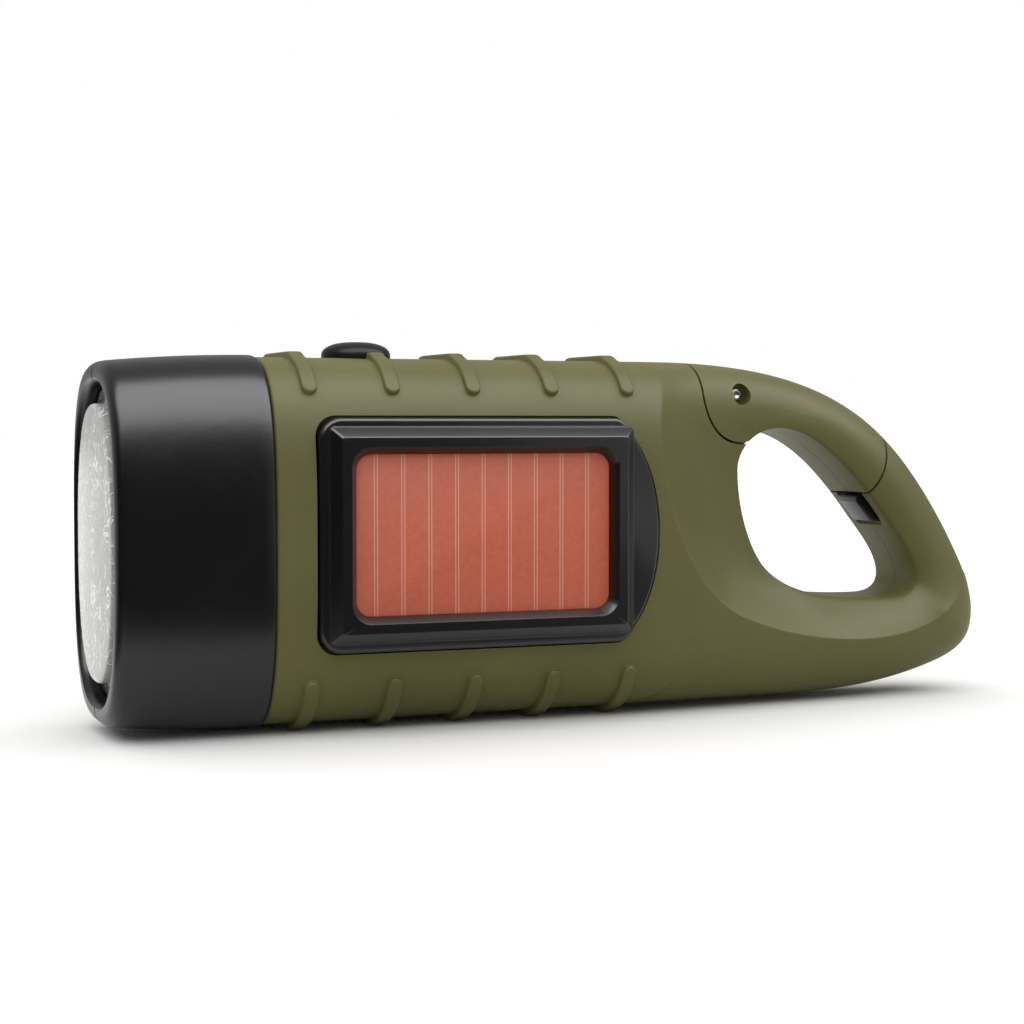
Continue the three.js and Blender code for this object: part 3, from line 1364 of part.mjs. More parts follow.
function idlerGear2() {
  const start = SECOND_GEAR_Y;
  const end = FIRST_GEAR_Y + GEAR_WIDTH + GEAR_GAP / 3;
  const made = join(
    gear(SECOND_SPOT, IDLER_TEETH, THIRD_MESH_DEG, start, start + GEAR_WIDTH),
    gear(SECOND_SPOT, PINION_TEETH, facing(SECOND_MESH_DEG, PINION_TEETH), start, end),
  );
  return bored(made, SECOND_SPOT, AXLE_DIAMETER + 2 * AXLE_PLAY);
}

function idlerAxle([x, z]) {
  const start = FRAME_START - CLEARANCE;
  return moved(rod("y", AXLE_DIAMETER, start, FRAME_END + CLEARANCE, 10), x, 0, z);
}

// The generator: magnet, shaft and pinion in one, inside a coil inside a can.
const CAN_END = FRAME_START - CLEARANCE;
const CAN_START = CAN_END - CAN_HEIGHT;

function rotor() {
  const shaft = AXLE_DIAMETER + CLEARANCE;
  const magnetStart = CAN_START + CAN_WALL + COIL_GAP;
  const magnetEnd = CAN_END - CAN_WALL - COIL_GAP;
  const pinionEnd = SECOND_GEAR_Y + GEAR_WIDTH + GEAR_GAP / 3;
  const phase = facing(THIRD_MESH_DEG, PINION_TEETH);
  return join(
    moved(rod("y", ROTOR_DIAMETER, magnetStart, magnetEnd), ROTOR_SPOT[0], 0, ROTOR_SPOT[1]),
    moved(rod("y", shaft, magnetStart, pinionEnd, 8), ROTOR_SPOT[0], 0, ROTOR_SPOT[1]),
    gear(ROTOR_SPOT, PINION_TEETH, phase, INNER_PLATE_END + GEAR_GAP / 3, pinionEnd),
  );
}

function coil() {
  const inner = ROTOR_DIAMETER / 2 + COIL_GAP;
  const outer = CAN_DIAMETER / 2 - CAN_WALL - CLEARANCE;
  const [low, high] = [CAN_START + CAN_WALL + CLEARANCE, CAN_END - CAN_WALL - CLEARANCE];
  const ring = cut(
    rod("y", 2 * outer, low, high),
    rod("y", 2 * inner, low - OVERRUN, high + OVERRUN),
  );
  return moved(ring, ROTOR_SPOT[0], 0, ROTOR_SPOT[1]);
}

function can() {
  const inner = CAN_DIAMETER - 2 * CAN_WALL;
  const made = cut(
    rod("y", CAN_DIAMETER, CAN_START, CAN_END),
    rod("y", inner, CAN_START + CAN_WALL, CAN_END - CAN_WALL),
    rod("y", AXLE_DIAMETER + 4 * CLEARANCE, CAN_END - OVERRUN, CAN_END + OVERRUN, 12),
  );
  return moved(made, ROTOR_SPOT[0], 0, ROTOR_SPOT[1]);
}

function framePlate(from, to) {
  const shape = roundedRectangle(
    CRANK_X - PLATE_START_OFFSET,
    MIDDLE_Z - PLATE_DROP,
    ROTOR_SPOT[0] + PLATE_END_OFFSET,
    MIDDLE_Z + PLATE_RISE,
    PLATE_CORNER,
  );
  const towerRooms = TOWER_SPOTS.map(([x, z]) =>
    sidePush(1, disc(x, z, TOWER_DIAMETER / 2 + CLEARANCE), 0, HALF_THICKNESS, ROUND),
  );
  return cut(push("y", shape, from, to), ...towerRooms);
}

function frameInner() {
  const posts = FRAME_POSTS.map(([x, z]) =>
    sidePush(1, disc(x, z, POST_DIAMETER / 2), FRAME_START, OUTER_PLATE_Y - CLEARANCE, ROUND),
  );
  const screws = FRAME_POSTS.map(([x, z]) =>
    moved(rod("y", FRAME_BORE, 0, FRAME_SCREW_TIP + 2 * CLEARANCE, 8), x, 0, z),
  );
  let made = cut(join(framePlate(FRAME_START, INNER_PLATE_END), ...posts), ...screws);
  for (const spot of [FIRST_SPOT, SECOND_SPOT]) {
    made = bored(made, spot, AXLE_DIAMETER + 2 * AXLE_PLAY);
  }
  made = bored(made, ROTOR_SPOT, AXLE_DIAMETER + 4 * CLEARANCE);
  return bored(made, CRANK_SPOT, SHAFT_DIAMETER + 2 * CLEARANCE);
}

const FRAME_BORE = FRAME_SCREW_DIAMETER + 2 * CLEARANCE;
const FRAME_SCREW_FACE = FRAME_START - CLEARANCE - FRAME_SCREW_HEAD_HEIGHT;
const FRAME_SCREW_TIP = FRAME_SCREW_FACE + FRAME_SCREW_LENGTH;

// Frame screws point towards the crank side, so they are drawn the other way and turned.
function frameScrew([x, z]) {
  const made = screw(
    [0, 0],
    0,
    FRAME_SCREW_HEAD,
    FRAME_SCREW_HEAD_HEIGHT,
    FRAME_SCREW_DIAMETER,
    FRAME_SCREW_LENGTH,
  );
  return moved(made.rotate([0, 0, 180]), x, FRAME_SCREW_FACE, z);
}

function frameOuter() {
  let made = framePlate(OUTER_PLATE_Y, FRAME_END);
  for (const spot of [FIRST_SPOT, SECOND_SPOT]) {
    made = bored(made, spot, AXLE_DIAMETER + 2 * AXLE_PLAY);
  }
  return bored(made, CRANK_SPOT, SHAFT_DIAMETER + 2 * CLEARANCE);
}

// The battery and its cradle against the solar shell's flat inside.
const CRADLE_REACH = BATTERY_DIAMETER / 2 + CRADLE_MARGIN;
const BATTERY_Z = LEDGE_BOTTOM - BATTERY_GAP - CRADLE_REACH;

function battery() {
  const half = BATTERY_LENGTH / 2;
  const radius = BATTERY_DIAMETER / 2;
  const profile = [
    [0, -half],
    [radius - WALL / 4, -half],
    [radius, WALL / 4 - half],
    [radius, half - WALL / 4],
    [radius - WALL / 4, half],
    [0, half],
  ];
  return moved(turned("x", profile, 14), BATTERY_X, -BATTERY_DEPTH, BATTERY_Z);
}

function batteryCradle() {
  const half = BATTERY_LENGTH / 2 - CRADLE_MARGIN;
  const back = SOLAR_CAVITY - CLEARANCE;
  const shape = rectangle(
    BATTERY_X - half,
    BATTERY_Z - CRADLE_REACH,
    BATTERY_X + half,
    BATTERY_Z + CRADLE_REACH,
  );
  const room = rod(
    "x",
    BATTERY_DIAMETER + 2 * CLEARANCE,
    -BATTERY_LENGTH,
    BATTERY_LENGTH,
    14,
  );
  const block = sidePush(-1, shape, back - CRADLE_DEPTH, back);
  return cut(block, moved(room, BATTERY_X, -BATTERY_DEPTH, BATTERY_Z));
}

// The crank: shaft, bush, arm, its screw, and the knob that folds into the arm.
const SHAFT_SEAT_SHARE = 0.4; // of the arm's thickness, that the shaft reaches into
const ARM_RECESS_SHARE = 0.333; // of the arm's thickness, that the screw's head sits in
const SHAFT_END = ARM_BACK + ARM_THICKNESS * SHAFT_SEAT_SHARE;

function crankShaft() {
  const wide = SCREW_DIAMETER + 2 * CLEARANCE;
  const bore = rod("y", wide, SHAFT_END - SHAFT_BORE_DEPTH, SHAFT_END + OVERRUN, 10);
  const shaft = rod("y", SHAFT_DIAMETER, FRAME_START, SHAFT_END, 18);
  return moved(cut(shaft, bore), CRANK_X, 0, CRANK_Z);
}

function crankBush() {
  const inner = SHAFT_DIAMETER / 2 + AXLE_PLAY;
  const outer = inner + BUSH_WALL;
  const start = CAVITY - WALL / 2 - CLEARANCE - BUSH_FLANGE;
  const profile = [
    [inner, start],
    [outer + BUSH_FLANGE, start],
    [outer + BUSH_FLANGE, start + BUSH_FLANGE],
    [outer, start + BUSH_FLANGE],
    [outer, HALF_THICKNESS + BOSS_PROUD],
    [inner, HALF_THICKNESS + BOSS_PROUD],
    [inner, start],
  ];
  return moved(turned("y", profile, 12), CRANK_X, 0, CRANK_Z);
}

const HINGE_X = CRANK_X + ARM_RADIUS;
const SLOT_HALF = KNOB_DIAMETER / 2 + KNOB_FORK_GAP / 2;

function armShape() {
  const hub = ARM_HUB_DIAMETER / 2;
  const end = ARM_END_WIDTH / 2;
  const lean = Math.asin((hub - end) / ARM_RADIUS);
  const shape = new THREE.Shape();
  shape.absarc(CRANK_X, CRANK_Z, hub, Math.PI / 2 - lean, 1.5 * Math.PI + lean);
  shape.absarc(HINGE_X, CRANK_Z, end, -Math.PI / 2 + lean, Math.PI / 2 - lean);
  return shape;
}

function crankArm() {
  const top = ARM_BACK + ARM_THICKNESS;
  const arm = push("y", armShape(), ARM_BACK, top, { rounding: ARM_ROUNDING, curveSegments: 6 });
  const slot = rectangle(
    HINGE_X - KNOB_BASE - KNOB_LENGTH - KNOB_CAP - 2 * CLEARANCE - KNOB_FORK_GAP,
    CRANK_Z - SLOT_HALF,
    HINGE_X + ARM_END_WIDTH,
    CRANK_Z + SLOT_HALF,
  );
  const pinBore = rod("z", KNOB_PIN_DIAMETER + 2 * AXLE_PLAY, 0, TOP_Z, 12);
  const floor = top - ARM_THICKNESS * ARM_RECESS_SHARE;
  const screwRoom = rod("y", SCREW_HEAD_DIAMETER + 2 * CLEARANCE, floor, top + OVERRUN, 14);
  const screwBore = rod("y", SCREW_DIAMETER + 2 * CLEARANCE, 0, top + OVERRUN, 10);
  const shaftBore = rod("y", SHAFT_DIAMETER + 2 * CLEARANCE, 0, SHAFT_END + CLEARANCE, 16);
  return cut(
    arm,
    push("y", slot, ARM_BACK - OVERRUN, top + OVERRUN),
    moved(pinBore, HINGE_X, ARM_BACK + ARM_THICKNESS / 2, 0),
    moved(join(screwRoom, screwBore, shaftBore), CRANK_X, 0, CRANK_Z),
  );
}

function crankScrew() {
  const face = ARM_BACK + ARM_THICKNESS;
  const head = ARM_THICKNESS * ARM_RECESS_SHARE - CLEARANCE;
  return screw(CRANK_SPOT, face, SCREW_HEAD_DIAMETER, head, SCREW_DIAMETER, CRANK_SCREW_LENGTH);
}

// The knob's post: a hinge block in the arm's slot, and a stem that the sleeve turns on.
const HINGE_BLOCK_SHARE = 0.8; // of the knob's radius, from its axis to the block's top

function knobPost() {
  const half = KNOB_DIAMETER / 2;
  const blockTop = KNOB_Y + half * HINGE_BLOCK_SHARE;
  const pinY = ARM_BACK + ARM_THICKNESS / 2;
  const back = ARM_BACK + CLEARANCE;
  const block = new THREE.Shape();
  const round = ARM_THICKNESS / 2 - CLEARANCE;
  block.absarc(HINGE_X, pinY, round, -Math.PI / 2, Math.PI / 6);
  block.lineTo(HINGE_X - round / 2, blockTop);
  block.lineTo(HINGE_X - KNOB_BASE, blockTop);
  block.lineTo(HINGE_X - KNOB_BASE, back);
  const hinge = push("z", block, CRANK_Z - half, CRANK_Z + half);
  const start = HINGE_X - KNOB_BASE;
  const end = start - KNOB_LENGTH - 2 * CLEARANCE;
  const stem = rod("x", KNOB_POST_DIAMETER, end - KNOB_CAP / 2, start + WALL / 2, 14);
  const cap = rod("x", KNOB_POST_DIAMETER + 2 * KNOB_CAP_RIM, end - KNOB_CAP, end, 14);
  const bore = rod("z", KNOB_PIN_DIAMETER + 2 * AXLE_PLAY, 0, TOP_Z, 12);
  return cut(
    join(hinge, moved(join(stem, cap), 0, KNOB_Y, CRANK_Z)),
    moved(bore, HINGE_X, pinY, 0),
  );
}

// The sleeve's waisted outside: shares of its half length and of its radius.
const SLEEVE_SHARES = [
  [-1, 0.86],
  [-0.86, 1],
  [0, 0.9],
  [0.86, 1],
  [1, 0.86],
];

function knobSleeve() {
  const half = KNOB_LENGTH / 2;
  const inner = KNOB_POST_DIAMETER / 2 + AXLE_PLAY * 2;
  const outer = KNOB_DIAMETER / 2;
  const middle = HINGE_X - KNOB_BASE - CLEARANCE - half;
  const profile = [
    [inner, -half],
    ...SLEEVE_SHARES.map(([along, wide]) => [outer * wide, half * along]),
    [inner, half],
    [inner, -half],
  ];
  return moved(turned("x", profile, 14), middle, KNOB_Y, CRANK_Z);
}

function knobPin() {
  const half = ARM_END_WIDTH / 2 - CLEARANCE;
  const pin = rod("z", KNOB_PIN_DIAMETER, CRANK_Z - half, CRANK_Z + half, 12);
  return moved(pin, HINGE_X, ARM_BACK + ARM_THICKNESS / 2, 0);
}

// Colours and finishes.
const olive = { color: 0x6a6a40, roughness: 0.5, metalness: 0 };
const black = { color: 0x17181a, roughness: 0.45, metalness: 0 };
const glossBlack = { color: 0x101114, roughness: 0.25, metalness: 0 };
const rubber = { color: 0x1b1b1d, roughness: 0.8, metalness: 0 };
const clear = { color: 0xe8eef0, roughness: 0.05, metalness: 0 };
const silver = { color: 0xd4d8da, roughness: 0.15, metalness: 1 };
const steel = { color: 0xb5b7b8, roughness: 0.35, metalness: 1 };
const terracotta = { color: 0xb9604c, roughness: 0.35, metalness: 0 };
const board = { color: 0x1f5a3a, roughness: 0.5, metalness: 0 };
const white = { color: 0xe6e4da, roughness: 0.5, metalness: 0 };
const copper = { color: 0xb06a3a, roughness: 0.4, metalness: 1 };
const green = { color: 0x2f7a4a, roughness: 0.4, metalness: 0 };

const torch = new THREE.Group();

function add(name, solid, finish) {
  const mesh = new THREE.Mesh(geometryOf(solid), new THREE.MeshStandardMaterial(finish));
  mesh.name = name;
  torch.add(mesh);
}

const solarBlock = shellBlock(-1);
const crankBlock = shellBlock(1);

add("solar_shell", solarShell(solarBlock), olive);
add("crank_shell", crankShell(crankBlock), olive);
SCREW_SPOTS.forEach((spot, i) => add(`housing_screw_${i + 1}`, housingScrew(spot), steel));
add("gate_near", gateHalf(-1, solarBlock), olive);
add("gate_far", gateHalf(1, crankBlock), olive);
add("latch_tongue", tongue(0), black);
const pinHalf = LOOP_THICKNESS / 2 - PIN_RECESS;
add("gate_pin", atPivot(PIN_DIAMETER, -pinHalf, pinHalf), steel);
add("gate_spring", gateSpring(), steel);

add("head_cover_near", headCover(-1), black);
add("head_cover_far", headCover(1), black);
add("lens", lens(), clear);
add("lens_gasket", lensGasket(), rubber);
add("reflector", reflector(), silver);
add("led_board", ledBoard(), board);
lampHeights().forEach((z, i) => add(`led_${i + 1}`, lamp(z), clear));

add("solar_bezel", solarBezel(), glossBlack);
const cellBack = CELL_FACE - CELL_THICKNESS;
add("solar_cell", sidePush(-1, cellShape(0), cellBack, CELL_FACE, FEW), terracotta);
add(
  "solar_cell_pad",
  sidePush(-1, cellShape(CELL_PAD_INSET), PAD_FACE - CELL_PAD_THICKNESS, PAD_FACE, FEW),
  rubber,
);

add("power_button", powerButton(), rubber);
add("switch_body", switchBody(), black);
add("main_board", mainBoard(), board);
add("battery", battery(), green);
add("battery_cradle", batteryCradle(), black);

add("gear_frame_inner", frameInner(), white);
add("gear_frame_outer", frameOuter(), white);
FRAME_POSTS.forEach((spot, i) => add(`gear_frame_screw_${i + 1}`, frameScrew(spot), steel));
add("crank_gear", crankGear(), white);
add("idler_gear_1", idlerGear1(), white);
add("idler_gear_2", idlerGear2(), white);
add("idler_axle_1", idlerAxle(FIRST_SPOT), steel);
add("idler_axle_2", idlerAxle(SECOND_SPOT), steel);
add("rotor", rotor(), steel);
add("coil", coil(), copper);
add("generator_can", can(), steel);

add("crank_shaft", crankShaft(), steel);
add("crank_bush", crankBush(), white);
add("crank_arm", crankArm(), olive);
add("crank_screw", crankScrew(), steel);
add("knob_post", knobPost(), black);
add("knob_sleeve", knobSleeve(), black);
add("knob_pin", knobPin(), steel);

// The part's origin is the middle of its box on the floor.
torch.position.set(
  -(TORCH_LENGTH + LENS_FRONT_X) / 2,
  -(CRANK_REACH - BEZEL_FACE) / 2,
  0,
);

export default torch;
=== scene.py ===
# %% [markdown]
# # A hand crank torch, from its fixed frame to a studio photograph
# The torch stands on a white table. Its solar side faces the camera, and its head points left.
# The frame holds every piece at its real size, with its joints. This lesson builds finer
# surfaces on that frame, gives each piece its finish, and lights it.
# %% Load the frame
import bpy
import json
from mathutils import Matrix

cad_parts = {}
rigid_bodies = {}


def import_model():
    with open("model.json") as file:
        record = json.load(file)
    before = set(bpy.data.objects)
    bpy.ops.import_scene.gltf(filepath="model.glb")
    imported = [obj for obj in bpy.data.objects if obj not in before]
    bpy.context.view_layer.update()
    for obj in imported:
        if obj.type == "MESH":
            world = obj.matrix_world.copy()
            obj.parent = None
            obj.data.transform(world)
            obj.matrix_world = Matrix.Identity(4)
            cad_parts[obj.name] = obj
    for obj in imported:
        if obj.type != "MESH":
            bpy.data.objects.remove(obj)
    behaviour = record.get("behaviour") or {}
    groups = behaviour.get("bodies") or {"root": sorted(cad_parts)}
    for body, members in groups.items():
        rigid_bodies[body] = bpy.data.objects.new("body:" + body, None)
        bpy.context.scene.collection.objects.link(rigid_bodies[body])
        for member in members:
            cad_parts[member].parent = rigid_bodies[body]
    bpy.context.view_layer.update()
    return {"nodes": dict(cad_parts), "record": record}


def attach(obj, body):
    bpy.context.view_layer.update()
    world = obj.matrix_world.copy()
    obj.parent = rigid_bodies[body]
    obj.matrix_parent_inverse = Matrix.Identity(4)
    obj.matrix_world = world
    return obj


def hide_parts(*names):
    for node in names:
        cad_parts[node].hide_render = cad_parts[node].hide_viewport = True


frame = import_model()

import json
import math

import bmesh
import bpy
import numpy as np
from mathutils import Vector

nodes = frame["nodes"]
print(len(nodes), "pieces in the frame")


def linked(name, data):
    """A new object of the scene."""
    made = bpy.data.objects.new(name, data)
    bpy.context.scene.collection.objects.link(made)
    return made


# %% [markdown]
# ## Camera
# The camera comes first, so that every later choice can be judged through it. Its place was
# found by fitting known points of the torch to the photograph. Yaw turns it from +Y to +X.
# %% Camera
CAMERA_PLACE = (-0.11802, -0.27533, 0.04253)
CAMERA_YAW = math.radians(21.97)
CAMERA_DROP = math.radians(2.566)
CAMERA_LENS = 70.3

camera_data = bpy.data.cameras.new("camera")
camera_data.lens = CAMERA_LENS
camera_data.sensor_width = 36
camera_data.clip_start = 0.01
camera = linked("camera", camera_data)
camera.location = CAMERA_PLACE
look = Vector((math.sin(CAMERA_YAW) * math.cos(CAMERA_DROP),
               math.cos(CAMERA_YAW) * math.cos(CAMERA_DROP), -math.sin(CAMERA_DROP)))
camera.rotation_euler = look.to_track_quat("-Z", "Y").to_euler()
bpy.context.scene.camera = camera

# %% [markdown]
# ## Sizes
# Sizes below are in millimetres. x runs from the lens lip to the loop, y from the seam of the
# two shells towards the crank, and z up from the table. `placed` turns them into the frame's
# metres, whose origin is the middle of the torch.
# %% Sizes of the torch
LENGTH, HEIGHT, THICKNESS = 139.2, 50.8, 32.4
HEAD_END = 21.3
TAIL_START = 77.4
TAIL_LENGTH = LENGTH - TAIL_START
FOOT = 0.75
TOP = FOOT + HEIGHT
MIDDLE = FOOT + HEIGHT / 2
SEAM = 0.06
ORIGIN = np.array([69.45, 3.15, 0.0])


def placed(points):
    return (np.asarray(points, float) - ORIGIN) / 1000


def mix(a, b, share):
    return a + (b - a) * share


def smooth_step(low, high, value):
    share = np.clip((value - low) / (high - low), 0, 1)
    return share * share * (3 - 2 * share)


def arch(distance, power):
    """0 at an edge and 1 from a distance of 1 on, along a superellipse."""
    left = 1 - np.clip(distance, 0, 1)
    return (1 - left**power) ** (1 / power)


# %% [markdown]
# ## Outlines
# The tail, the hole in the loop and the ridge of the scoop are Bezier chains in side view.
# They are written in shares of the tail's length and of the body's height, so they keep their
# shape if a size changes.
# %% Outlines of the loop
TAIL_CHAIN = [(0.1, 1), (0.43, 1), (0.62, 0.925), (0.761, 0.757), (0.868, 0.629), (1, 0.373),
              (1, 0.235), (1, 0.152), (0.972, 0.108), (0.89, 0.074), (0.76, 0.023), (0.62, 0),
              (0.45, 0)]
HOLE_CHAIN = [(0, 0.765), (0, 0.865), (0.077, 1), (0.223, 1), (0.455, 1), (0.687, 0.693),
              (0.836, 0.455), (0.91, 0.345), (1, 0.223), (1, 0.11), (1, 0.034), (0.941, 0),
              (0.842, 0), (0.594, 0), (0.285, 0.023), (0.146, 0.2), (0.065, 0.303), (0, 0.538),
              (0, 0.765)]
RIDGE_CHAIN = [(0.05, 1.01), (0.039, 0.93), (0.008, 0.85), (0.008, 0.773), (0.008, 0.596),
               (0.083, 0.389), (0.184, 0.296), (0.252, 0.235), (0.447, 0.172), (0.625, 0.172),
               (0.754, 0.172), (0.875, 0.211), (0.948, 0.34)]
HOLE_CORNER = np.array([94.8, 15.3])
HOLE_SIZE = np.array([32.3, 26.4])
TAIL_CORNER = np.array([TAIL_START, FOOT])
TAIL_SIZE = np.array([TAIL_LENGTH, HEIGHT])


def bezier_line(chain, corner, size, steps):
    points = np.array(chain) * size + corner
    share = np.linspace(0, 1, steps, endpoint=False)[:, None]
    left = 1 - share
    line = []
    for i in range(0, len(points) - 1, 3):
        a, b, c, d = points[i : i + 4]
        line.append(left**3 * a + 3 * left**2 * share * b + 3 * left * share**2 * c + share**3 * d)
    return np.vstack(line + [points[-1:]])


def evenly(line, step):
    """The same line with points about a step apart."""
    along = np.concatenate([[0], np.cumsum(np.linalg.norm(np.diff(line, axis=0), axis=1))])
    places = np.linspace(0, along[-1], int(along[-1] / step) + 2)
    return np.column_stack([np.interp(places, along, line[:, k]) for k in range(2)])


tail_line = evenly(bezier_line(TAIL_CHAIN, TAIL_CORNER, TAIL_SIZE, 80), 0.8)
hole_line = evenly(bezier_line(HOLE_CHAIN, HOLE_CORNER, HOLE_SIZE, 40), 0.5)
ridge_line = evenly(bezier_line(RIDGE_CHAIN, TAIL_CORNER, TAIL_SIZE, 40), 0.8)
rim_line = np.vstack([[(0, TOP)], tail_line, [(0, FOOT)]])
scoop_area = np.vstack([ridge_line, [(150, MIDDLE), (150, TOP + 5), (ridge_line[0, 0], TOP + 5)]])
print("outline points:", len(tail_line), len(hole_line), len(ridge_line))

# %% [markdown]
# ## Depth of the outside
# On the straight body the section is a superellipse. On the tail the depth follows from three
# distances: to the rim, to the hole and to the ridge. Past the ridge the surface dips in a
# hollow slope down to the thin loop. The hole's edge is crisp on the body's side of the hole and
# well rounded round the loop.
# %% Depth of the outside
SECTION_POWER = 3.3
LOOP_HALF = 7.4
TAIL_HALF = 9
EDGE_RADIUS, CRISP_RADIUS = 4.6, 1.2
EDGE_START, CRISP_START = 0.55, 0.93
CRISP_TO, CRISP_FROM = 114, 100


def distance_to(line, points):
    """Each point's distance to a chain of straight stretches."""
    best = np.full(len(points), np.inf)
    for start, end in zip(line[:-1], line[1:]):
        along = end - start
        share = np.clip((points - start) @ along / (along @ along), 0, 1)[:, None]
        best = np.minimum(best, np.linalg.norm(points - start - share * along, axis=1))
    return best


def inside(area, points):
    result = np.zeros(len(points), bool)
    for (au, av), (bu, bv) in zip(area, np.roll(area, 1, axis=0)):
        crosses = (av > points[:, 1]) != (bv > points[:, 1])
        slope = (bu - au) / (bv - av) if bv != av else 0
        result ^= crosses & (points[:, 0] < slope * (points[:, 1] - av) + au)
    return result


def tail_depth(points):
    from_rim = distance_to(rim_line, points)
    from_hole = distance_to(hole_line, points)
    from_ridge = distance_to(ridge_line, points)
    taper = np.clip((points[:, 0] - TAIL_START) / TAIL_LENGTH, 0, 1)
    body = mix(THICKNESS / 2, TAIL_HALF, taper)
    near_hole = from_hole / (from_hole + from_ridge + 1e-9)
    loop = np.where(inside(scoop_area, points), 1 - near_hole**1.5, 0)
    loop = loop**2 / (loop + 0.02) * 1.02
    height = mix(body, LOOP_HALF, loop)
    reach = mix(HEIGHT / 2, 8, loop)
    face = height * arch(from_rim / reach, mix(SECTION_POWER, 2.2, loop))
    straight = LOOP_HALF - EDGE_RADIUS
    crisp = smooth_step(CRISP_TO, CRISP_FROM, points[:, 0])
    start = mix(EDGE_START, CRISP_START, crisp)
    rise = start + (1 - start) * arch(from_hole / mix(EDGE_RADIUS, CRISP_RADIUS, crisp), 2)
    rounded = straight + np.maximum(0, face - straight) * rise
    return np.minimum(face, rounded)


# %% [markdown]
# ## Section of the body
# `section_at` gives the depth, the height and the outward normal at a length along half of the
# section, from its bottom at the seam, round the side, to its top at the seam. At the head the
# section is drawn in by a few steps, which round the body's front edge.
# %% Section of the body
def section_curve(angle):
    share = 2 / SECTION_POWER
    depth = THICKNESS / 2 * np.cos(angle).clip(0) ** share
    height = HEIGHT / 2 * np.sign(np.sin(angle)) * np.abs(np.sin(angle)) ** share
    return depth, height


dense = np.radians(np.linspace(-90, 90, 4001))
dense_depth, dense_height = section_curve(dense)
dense_step = np.hypot(np.diff(dense_depth), np.diff(dense_height))
dense_along = np.concatenate([[0], np.cumsum(dense_step)])


def section_at(along):
    """Depth, height and normal of the section at lengths from its bottom."""
    angle = np.interp(along, dense_along, dense)
    lean = 2 - 2 / SECTION_POWER
    normal = np.stack([np.cos(angle).clip(0) ** lean / THICKNESS,
                       np.sign(angle) * np.abs(np.sin(angle)) ** lean / HEIGHT], -1)
    normal /= np.linalg.norm(normal, axis=-1)[..., None]
    return (np.interp(along, dense_along, dense_depth), np.interp(along, dense_along, dense_height),
            normal)


ROWS = 97
FRONT_EDGE = HEAD_END + np.array([0, 0.1, 0.25, 0.45])
FRONT_INSETS = [0.45, 0.22, 0.07, 0]
body_along = np.linspace(0, dense_along[-1], ROWS)
body_depth, body_height, body_normal = section_at(body_along)
columns = np.concatenate([FRONT_EDGE, np.arange(HEAD_END + 1.6, TAIL_START - 0.5, 1.4)])

# %% [markdown]
# ## Mesh helpers
# `solid` makes an object from points in millimetres and faces. `cut`, `join` and `common` apply
# Booleans. Every body stays closed, because the Manifold solver needs that.
# %% Mesh helpers
def grid_faces(rows, count, closed=False):
    last = count if closed else count - 1
    return [(r * count + c, r * count + (c + 1) % count,
             (r + 1) * count + (c + 1) % count, (r + 1) * count + c)
            for r in range(rows - 1) for c in range(last)]


def smooth(target, sharp=32):
    target.data.shade_smooth()
    target.data.set_sharp_from_angle(angle=math.radians(sharp))
    return target


def solid(name, points, faces, sharp=32):
    mesh = bpy.data.meshes.new(name)
    mesh.from_pydata(placed(points).tolist(), [], faces)
    made = bmesh.new()
    made.from_mesh(mesh)
    bmesh.ops.remove_doubles(made, verts=made.verts, dist=2e-7)
    bmesh.ops.recalc_face_normals(made, faces=made.faces)
    made.to_mesh(mesh)
    made.free()
    return smooth(linked(name, mesh), sharp)


def changed(target, kind, **settings):
    """Applies one modifier to an object."""
    modifier = target.modifiers.new(kind, kind)
    for key, value in settings.items():
        setattr(modifier, key, value)
    graph = bpy.context.evaluated_depsgraph_get()
    mesh = bpy.data.meshes.new_from_object(target.evaluated_get(graph))
    target.modifiers.clear()
    old, target.data = target.data, mesh
    bpy.data.meshes.remove(old)
    return target


def combined(target, tools, operation, sharp=32):
    for tool in tools:
        changed(target, "BOOLEAN", object=tool, operation=operation, solver="MANIFOLD")
        bpy.data.objects.remove(tool)
    return smooth(target, sharp)


def cut(target, *tools, **options):
    return combined(target, tools, "DIFFERENCE", **options)


def join(target, *tools, **options):
    return combined(target, tools, "UNION", **options)


def common(target, *tools, **options):
    return combined(target, tools, "INTERSECT", **options)


def copy_of(source, name):
    return linked(name, source.data.copy())


def softened(target, width, segments=3, angle=40):
    changed(target, "BEVEL", width=width / 1000, segments=segments, limit_method="ANGLE",
            angle_limit=math.radians(angle), harden_normals=False)
    return smooth(target)


# %% [markdown]
# ## Basic forms
# Three ways to make a form cover this torch: a loft through rings, a prism that pushes a side
# view outline along y, and a profile turned about an axis.
# %% Lofts, prisms and turned forms
AXES = {"x": 0, "y": 1, "z": 2}


def loft(name, rings, sharp=32):
    rings = [np.asarray(ring, float) for ring in rings]
    count, total = len(rings[0]), len(rings) * len(rings[0])
    points = np.vstack(rings + [rings[0].mean(0)[None], rings[-1].mean(0)[None]])
    faces = grid_faces(len(rings), count, closed=True)
    faces += [(total, (i + 1) % count, i) for i in range(count)]
    faces += [(total + 1, total - count + i, total - count + (i + 1) % count)
              for i in range(count)]
    return solid(name, points, faces, sharp)


def prism(name, outline, low, high, axis="y", soft=0.0, segments=3):
    """An outline pushed along an axis: (x, z) along y, (y, z) along x, (x, y) along z."""
    outline = np.asarray(outline, float)
    rings = [np.insert(outline, AXES[axis], level, axis=1) for level in (low, high)]
    count = len(outline)
    faces = grid_faces(2, count, closed=True)
    faces += [tuple(range(count))[::-1], tuple(range(count, 2 * count))]
    made = solid(name, np.vstack(rings), faces)
    return softened(made, soft, segments) if soft else made


